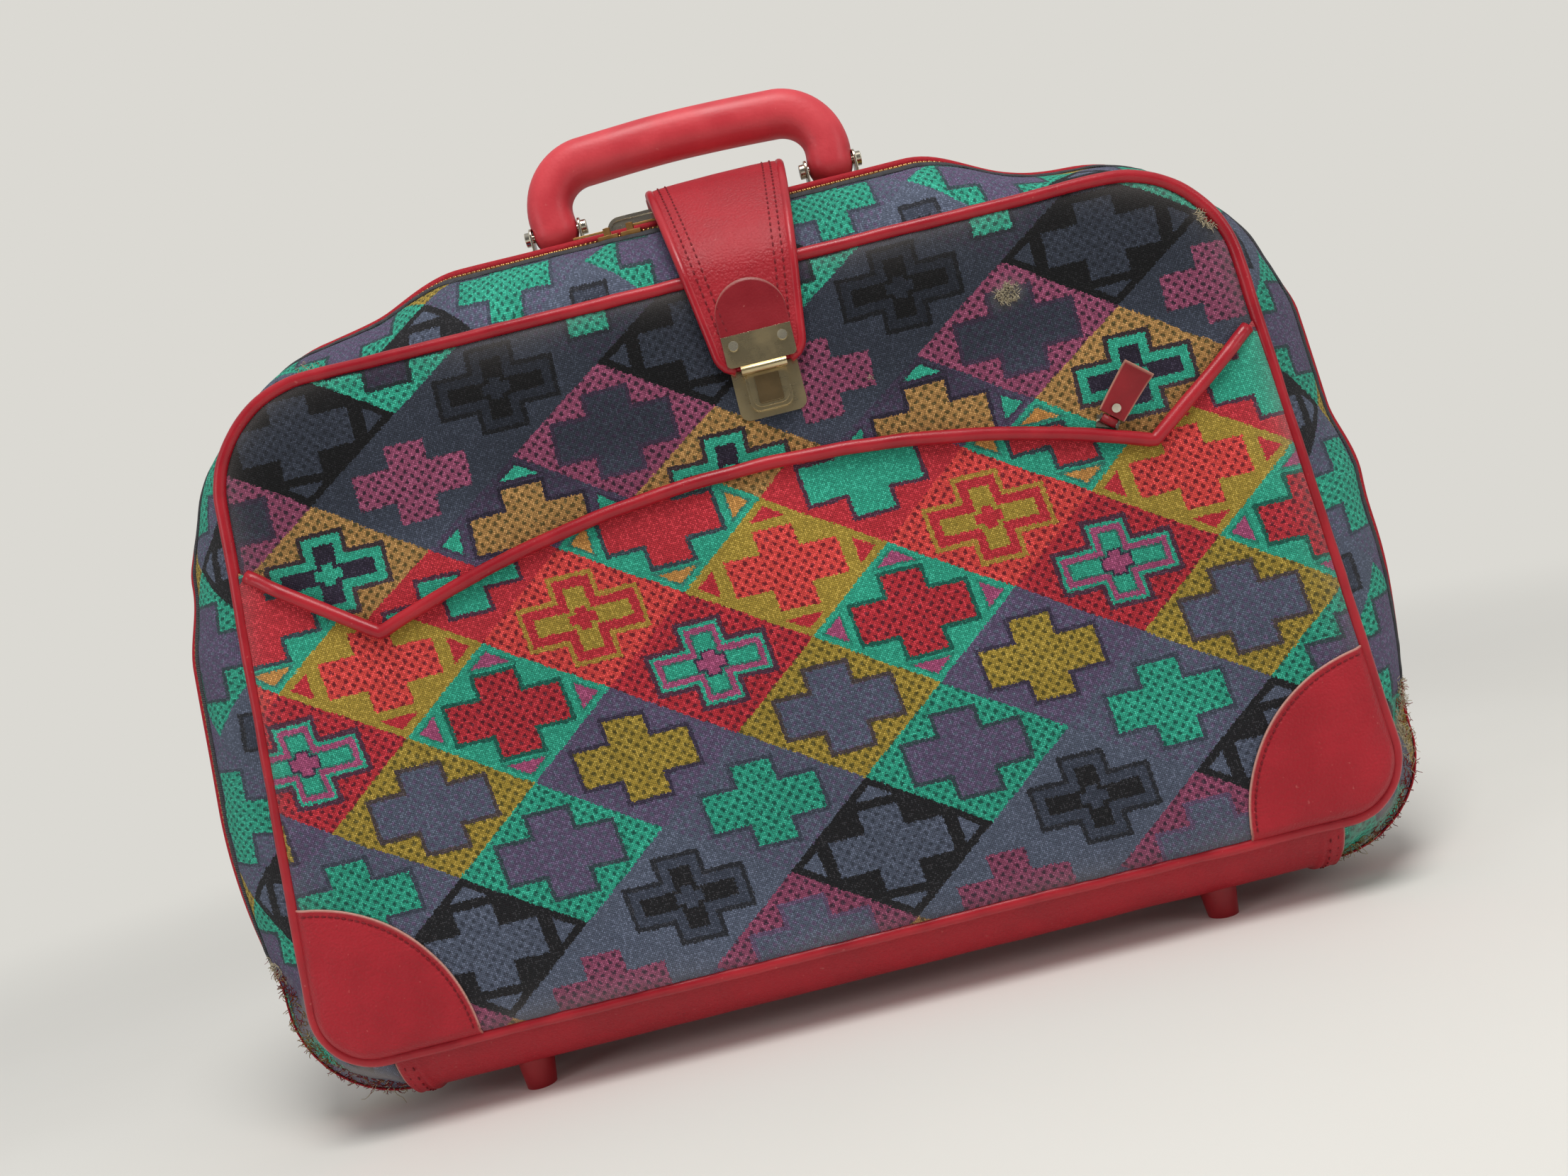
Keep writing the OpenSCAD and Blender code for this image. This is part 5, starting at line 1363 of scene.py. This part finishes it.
def strap_section(s, t):
    a = math.tau * t
    across = blunt(math.cos(a), 0.3) * 0.93
    depth = 0.5 + 0.5 * blunt(math.sin(a), 0.4)
    return strap_place(lerp(0.3, STRAP_LENGTH - 0.3, s), across, depth)


strap = skin("strap_vinyl", *STRAP_GRID, strap_section, merge=True)
dress(strap, GRAINED_VINYL, "case", "red_vinyl", "strap")
for side, word in SIDES:
    run = []
    for i in range(121):
        length = lerp(0.4, STRAP_LENGTH - 0.4, i / 120)
        point, out = strap_at(length)
        spot = point + out * (STRAP_T / 2)
        x = STRAP_X + side * max(1.0, strap_half(length, point) - BEAD_R)
        run.append((x, spot.x, spot.y, 1 + 0.04 * ripple(length, side, 3, 11)))
    bead = tube("strap_bead_" + word + "_roll", [run], BEAD_R)
    dress(bead, PIPED_VINYL, "case", "red_vinyl", "strap_bead_" + word)


def on_seam(length, side, inset):
    """Point of a seam on top of the strap, at an inset from one of its edges."""
    half_w = strap_half(length, strap_at(length)[0])
    return Vector(strap_place(length, side * (1 - inset / half_w), 1.0))


spots = []
count = int((STRAP_LENGTH - 30) / STRAP_STITCH_PITCH)
for side in (-1, 1):
    for inset in STRAP_SEAMS:
        for i in range(count):
            length = lerp(15, STRAP_LENGTH - 17, i / (count - 1))
            here, there = on_seam(length, side, inset), on_seam(length + 0.5, side, inset)
            out = strap_at(length)[1]
            spots.append(frame_at(here, there - here, (0, out.x, out.y)))
dress(row("strap_stitches", spots, STITCH), SEWING_THREAD, "case", "red_vinyl")
print("strap", round(STRAP_LENGTH), "mm long with", len(spots), "stitches")

# %% [markdown]
# ## Patch under the hasp
# A darker, smoother half-round patch strengthens the strap where the hasp is riveted on.

# %% Strap patch
HASP_Y = STRAP_FRONT - STRAP_T - 1
PATCH_HALF, PATCH_LOW_Z, PATCH_ROUND_Z, HASP_PATCH_WALL = 14.5, 270.4, 290.0, 0.9


def hasp_patch_roof(x):
    return PATCH_ROUND_Z + math.sqrt(max(0.0, PATCH_HALF**2 - (x - STRAP_X) ** 2))


strap_patch = curtain(
    "strap_patch_vinyl", STRAP_X - PATCH_HALF + 0.05, STRAP_X + PATCH_HALF - 0.05, 40, 24,
    lambda x: PATCH_LOW_Z, hasp_patch_roof, lambda x, z: HASP_Y + 0.1 - 0.3 * ripple(x, 0, z, 12), FRONT,
    rim=lambda x, z: 0.4 * clamp(1 - (hasp_patch_roof(x) - z) / 0.35))
dress(thicken(strap_patch, HASP_PATCH_WALL), SMOOTH_VINYL, "case", "red_vinyl", "strap_patch")
print("strap patch ready")

# %% [markdown]
# ## Handle
# The handle is moulded in one piece: round ends on the pins, short arms, and a plump grip. Its middle line
# is walked from one end to the other and a ring is laid round it at each step.

# %% Handle
HANDLE_X = 4.0
PIVOT_Z, GRIP_Z = 359.8, 388.05
TIP_X, ARM_X, ARM_R = 63.4, 64.0, 10.0
BEND_R = 21.0
GRIP_HALF_T, GRIP_HALF_D, GRIP_CROWN = 10.6, 9.6, 1.5


def handle_stations():
    """Half of the handle from its round end to the middle of the grip: place, turn and two half sizes."""
    walk = []
    for i in range(13):
        a = lerp(0.02, HALF_TURN, i / 12)
        thick, deep = ARM_R * math.sin(a), GRIP_HALF_D * math.sin(a)
        walk.append((TIP_X, PIVOT_Z - ARM_R * math.cos(a), 0.0, thick, deep))
    rise = GRIP_Z - BEND_R - PIVOT_Z
    for i in range(1, 6):
        k = i / 6
        walk.append((lerp(TIP_X, ARM_X, ease(k)), PIVOT_Z + rise * k, 0.0, ARM_R, GRIP_HALF_D))
    for i in range(19):
        k = i / 18
        a = HALF_TURN * k
        walk.append((
            ARM_X - BEND_R + BEND_R * math.cos(a), GRIP_Z - BEND_R + BEND_R * math.sin(a), a,
            lerp(ARM_R, GRIP_HALF_T, ease(k)), GRIP_HALF_D))
    for i in range(1, 21):
        k = i / 20
        crown = GRIP_CROWN * math.sin(HALF_TURN * k)
        walk.append(((ARM_X - BEND_R) * (1 - k), GRIP_Z + crown, HALF_TURN, GRIP_HALF_T, GRIP_HALF_D))
    return walk


half_walk = handle_stations()
HANDLE_WALK = half_walk + [(-x, z, math.pi - a, w, d) for x, z, a, w, d in reversed(half_walk[:-1])]


def on_handle(s, t):
    """Point of a ring round the handle, with the fine seam that the mould leaves."""
    x, z, a, w, d = HANDLE_WALK[round(s * (len(HANDLE_WALK) - 1))]
    turn = math.tau * t
    seam = 0.25 * bell(math.cos(turn), 0.06)
    swell = 1 + 0.012 * ripple(x, 10 * math.cos(turn), z + 10 * math.sin(turn), 22)
    up = blunt(math.sin(turn), 0.9) * (w * swell + seam * (w > 5))
    out = blunt(math.cos(turn), 0.9) * d * swell
    return (HANDLE_X + x + up * math.cos(a), BRACKET_Y - out, z + up * math.sin(a))


handle = skin("handle_grip_moulding", len(HANDLE_WALK) - 1, 40, on_handle, merge=True)
dress(handle, HANDLE_VINYL, "handle", "handle_vinyl", "handle_grip")
print("handle of", len(HANDLE_WALK), "rings")

# %% [markdown]
# ## Leather pull tab
# A strip of split leather hangs from the pocket's slider. Its cut edges are pale, and it has curled a
# little away from the pocket with use.

# %% Pull tab
TAB_PIVOT = Vector((143.869, -55.0578, 214.012))
TAB_TURN = math.radians(17.8453 + 23)
TAB_LIFT = math.radians(15)
TAB_W, TAB_L, TAB_T, TAB_EYE, TAB_START, TAB_BEVEL = 12.0, 24.0, 1.6, 3.6, 2.2, 0.3
tab_turn = Matrix.Rotation(TAB_TURN, 4, "Y") @ Matrix.Rotation(TAB_LIFT, 4, "X")


def tab_mesh():
    bm = bmesh.new()
    size = Matrix.Diagonal((TAB_W * MM, TAB_T * MM, (TAB_L - TAB_START) * MM, 1))
    middle = Matrix.Translation((0, 0, (TAB_L + TAB_START) / 2 * MM))
    bmesh.ops.create_cube(bm, size=1, matrix=middle @ size)
    bmesh.ops.subdivide_edges(bm, edges=bm.edges, cuts=15, use_grid_fill=True)
    worn = bm.verts.layers.float.new("rim")
    for v in bm.verts:
        x, y, z = v.co / MM
        v[worn] = 1.0 if abs(x) > TAB_W / 2 - 0.1 or z > TAB_L - 0.1 else 0.0
        k = (z - TAB_START) / (TAB_L - TAB_START)
        wide = lerp(0.94, 1.08, k)
        curl = 0.8 * math.sin(math.pi * k) - 1.3 * ease((k - 0.8) / 0.2)
        v.co = Vector((x * wide, y + curl + 0.2 * math.sin(3 * x / TAB_W), z)) * MM
    shell = [e for e in bm.edges if e.calc_face_angle(0) > 0.9]
    round_edges(bm, shell, TAB_BEVEL, 2)
    bmesh.ops.create_cone(
        bm, cap_ends=True, segments=24, radius1=TAB_EYE / 2 * MM, radius2=TAB_EYE / 2 * MM, depth=6.2 * MM,
        matrix=Matrix.Rotation(HALF_TURN, 4, "Y"))
    bmesh.ops.transform(bm, matrix=Matrix.Translation(TAB_PIVOT * MM) @ tab_turn, verts=bm.verts)
    bmesh.ops.recalc_face_normals(bm, faces=bm.faces)
    return bm


tab = new_piece("pull_tab_leather", tab_mesh())
dress(tab, TAB_LEATHER, "pocket_pull", "red_leather", "pocket_tab")
print("pull tab", TAB_W, "by", TAB_L, "mm")

# %% [markdown]
# ## Wear
# Years of use have opened the cloth at the lower corners and left bald, fuzzy spots elsewhere. Each loose
# thread is a thin bent tube. A seeded draw gives the bends, so the threads come out the same each time.

# %% Loose threads
THREAD_R, THREAD_STEPS = 0.2, 6
FRAY_THREADS, LONG_THREADS, WORN_THREADS = 420, 3, 170
luck = random.Random(11)
loose = {"pale": [], "red": [], "ochre": []}


def loose_thread(colour, place, way, length, thin=1.0):
    """Adds one thread that starts at a place, sets off along a way and bends as it likes."""
    here, way, run = Vector(place), Vector(way).normalized(), []
    for i in range(THREAD_STEPS + 1):
        run.append((*here, thin * (1 - 0.07 * i)))
        turn = Vector([luck.uniform(-1, 1) for axis in range(3)])
        way = (way + 0.55 * turn).normalized()
        here = here + way * length / THREAD_STEPS
    loose[colour].append(run)


# colours of the fray along a corner, from the end of the base strip up the side
FRAY = [
    ["ochre", "red", "red", "pale", "pale", "pale"],
    ["red", "red", "ochre", "ochre", "red", "pale"],
]
for side in (0, 1):
    for i in range(FRAY_THREADS):
        walk = luck.uniform(-1, CORNER_STRETCH - 4)
        share = abs(side - walk / OVER_LENGTH)
        x, z, a = station(share)
        out, along = Vector((math.cos(a), 0, math.sin(a))), Vector((-math.sin(a), 0, math.cos(a)))
        zone = FRAY[side][min(5, int(max(0.0, walk) / CORNER_STRETCH * len(FRAY[side])))]
        colour = zone if luck.random() < 0.7 else luck.choice(["pale", "red", "ochre"])
        bristle = luck.random() < 0.16
        lean = luck.uniform(0.5, 1.2) if bristle else luck.uniform(0.0, 0.2)
        way = out * lean + along * luck.choice([-1, 1]) - Vector((0, luck.uniform(0.1, 0.8), 0))
        loose_thread(colour, on_gusset(share, luck.uniform(-33, -15), 0.3), way, luck.uniform(2.0, 4.6))
    for i in range(LONG_THREADS):
        share = abs(side - luck.uniform(0, 16) / OVER_LENGTH)
        x, z, a = station(share)
        place = on_gusset(share, luck.uniform(-30, -20), 0.1)
        loose_thread("pale", place, (math.cos(a), -0.3, math.sin(a)), luck.uniform(6, 10))
# place on the front, depth, number of threads, size of the spot, colour
BALD_SPOTS = [
    (55.6, 254.0, FRONT_FACE - 0.5, 7, 1.0, "pale"), (41.0, 189.4, WELT_Y - 2.4, 8, 1.2, "ochre"),
    (-165.0, 314.0, FRONT_SEAM + 1.0, 22, 5.0, "pale"), (-196.0, 296.0, FRONT_SEAM + 1.0, 18, 4.0, "pale"),
]
for x, z, y, count, size, colour in BALD_SPOTS:
    for i in range(count):
        turn = luck.uniform(0, math.tau)
        gap = size * math.sqrt(luck.random())
        place = (x + gap * math.cos(turn), y, z + 0.6 * gap * math.sin(turn))
        way = (luck.uniform(-1, 1), -0.15, luck.uniform(-1, 1))
        loose_thread(colour, place, way, luck.uniform(1.0, 2.6), 0.6)
for cx, cz, length, width, slope in WORN_THROUGH:
    for i in range(WORN_THREADS):
        turn = luck.uniform(0, math.tau)
        gap = math.sqrt(luck.random())
        along, across = length * gap * math.cos(turn), width * gap * math.sin(turn)
        x = cx + along * math.cos(slope) - across * math.sin(slope)
        z = cz + along * math.sin(slope) + across * math.cos(slope)
        core = slope < 0 and gap < 0.45
        if core:
            way = (math.cos(slope), -0.2, math.sin(slope))
        else:
            way = (luck.uniform(-1, 1), -0.7, luck.uniform(-1, 1))
        place = (x, FRONT_FACE + panel_depth(x, z) - 0.15, z)
        loose_thread("red" if core else "pale", place, way, luck.uniform(1.3, 3.0), 0.85)
for colour, finish in (("pale", LOOSE_PALE), ("red", LOOSE_RED), ("ochre", LOOSE_OCHRE)):
    dress(tube("loose_threads_" + colour, loose[colour], THREAD_R, steps=0), finish, "case", "printed_cloth")
print("loose threads:", {colour: len(runs) for colour, runs in loose.items()})

# %% [markdown]
# ## Floor and light
# A wide pale floor carries the case and its shadow. Away from the case it fades into the same plain tone
# that the sky shows to the camera, so no edge or horizon is seen from any side. One large soft lamp above
# and in front gives the shape, weaker ones from both sides open the shadows, and a soft sky fills the rest.
# The sky is darker behind the camera, so that metal and gloss have something dark to mirror.

# %% Floor
PALE = srgb(219, 217, 211)
FLOOR_HALF = 7000
FADE_START, FADE_END = 0.4, 1.3


def on_floor(s, t):
    return (lerp(-FLOOR_HALF, FLOOR_HALF, s), lerp(-FLOOR_HALF, FLOOR_HALF, t), 0)


floor = skin("studio_floor", 24, 24, on_floor, lambda place: Vector((0, 0, 1)))
paper, g, shader = new_finish("studio_paper", Roughness=0.9, Specular_IOR_Level=0.1)
spot = g.node("TexCoord").outputs["Object"]
g.feed(g.mix(g.noise(spot, 3.0), srgb(228, 226, 220), srgb(236, 235, 230)), shader["Base Color"])
away = g.node("VectorMath", operation="LENGTH")
g.feed(spot, away.inputs[0])
faded = g.spread(away.outputs["Value"], FADE_START, FADE_END)
glow = g.node("Emission")
glow.inputs["Color"].default_value = PALE
blend = g.node("MixShader")
g.feed(g.sum("MULTIPLY", faded, g.node("LightPath").outputs["Is Camera Ray"]), blend.inputs[0])
g.feed(shader["Base Color"].node.outputs[0], blend.inputs[1])
g.feed(glow.outputs[0], blend.inputs[2])
shown = next(n for n in paper.node_tree.nodes if n.type == "OUTPUT_MATERIAL")
g.feed(blend.outputs[0], shown.inputs["Surface"])
floor.data.materials.append(paper)
print("floor", 2 * FLOOR_HALF, "mm wide")


# %% Lamps and sky
LAMP_AIM = Vector((0, 0, 0.2))


def lamp(name, place, size, power, colour):
    light = bpy.data.lights.new(name, "AREA")
    light.shape = "DISK"
    light.size = size
    light.energy = power
    light.color = colour
    holder = bpy.data.objects.new(name, light)
    holder.location = place
    aim = LAMP_AIM - Vector(place)
    holder.rotation_euler = aim.to_track_quat("-Z", "Y").to_euler()
    scene.collection.objects.link(holder)


lamp("key_lamp", (0.1, -0.7, 1.5), 0.7, 15, (1.0, 0.99, 0.97))
lamp("left_lamp", (-1.6, -1.1, 0.6), 0.9, 5.5, (0.97, 0.98, 1.0))
lamp("right_lamp", (1.5, -1.2, 0.8), 0.9, 5, (1.0, 0.99, 0.97))
sky = bpy.data.worlds.new("soft_sky")
scene.world = sky
sky.use_nodes = True
g = Graph(sky.node_tree)
backdrop = next(n for n in sky.node_tree.nodes if n.type == "BACKGROUND")
way = g.node("SeparateXYZ")
g.feed(g.node("TexCoord").outputs["Generated"], way.inputs[0])
dome = g.mix(g.spread(way.outputs[2], -0.25, 0.75), (0.18, 0.175, 0.17, 1.0), (0.5, 0.5, 0.5, 1.0))
behind_camera = g.spread(way.outputs[1], -0.95, -0.3, 0.66, 0.0)
dome = g.mix(behind_camera, dome, (0.03, 0.027, 0.025, 1.0))
g.feed(g.mix(g.node("LightPath").outputs["Is Camera Ray"], dome, PALE), backdrop.inputs["Color"])
print("lamps and sky ready")
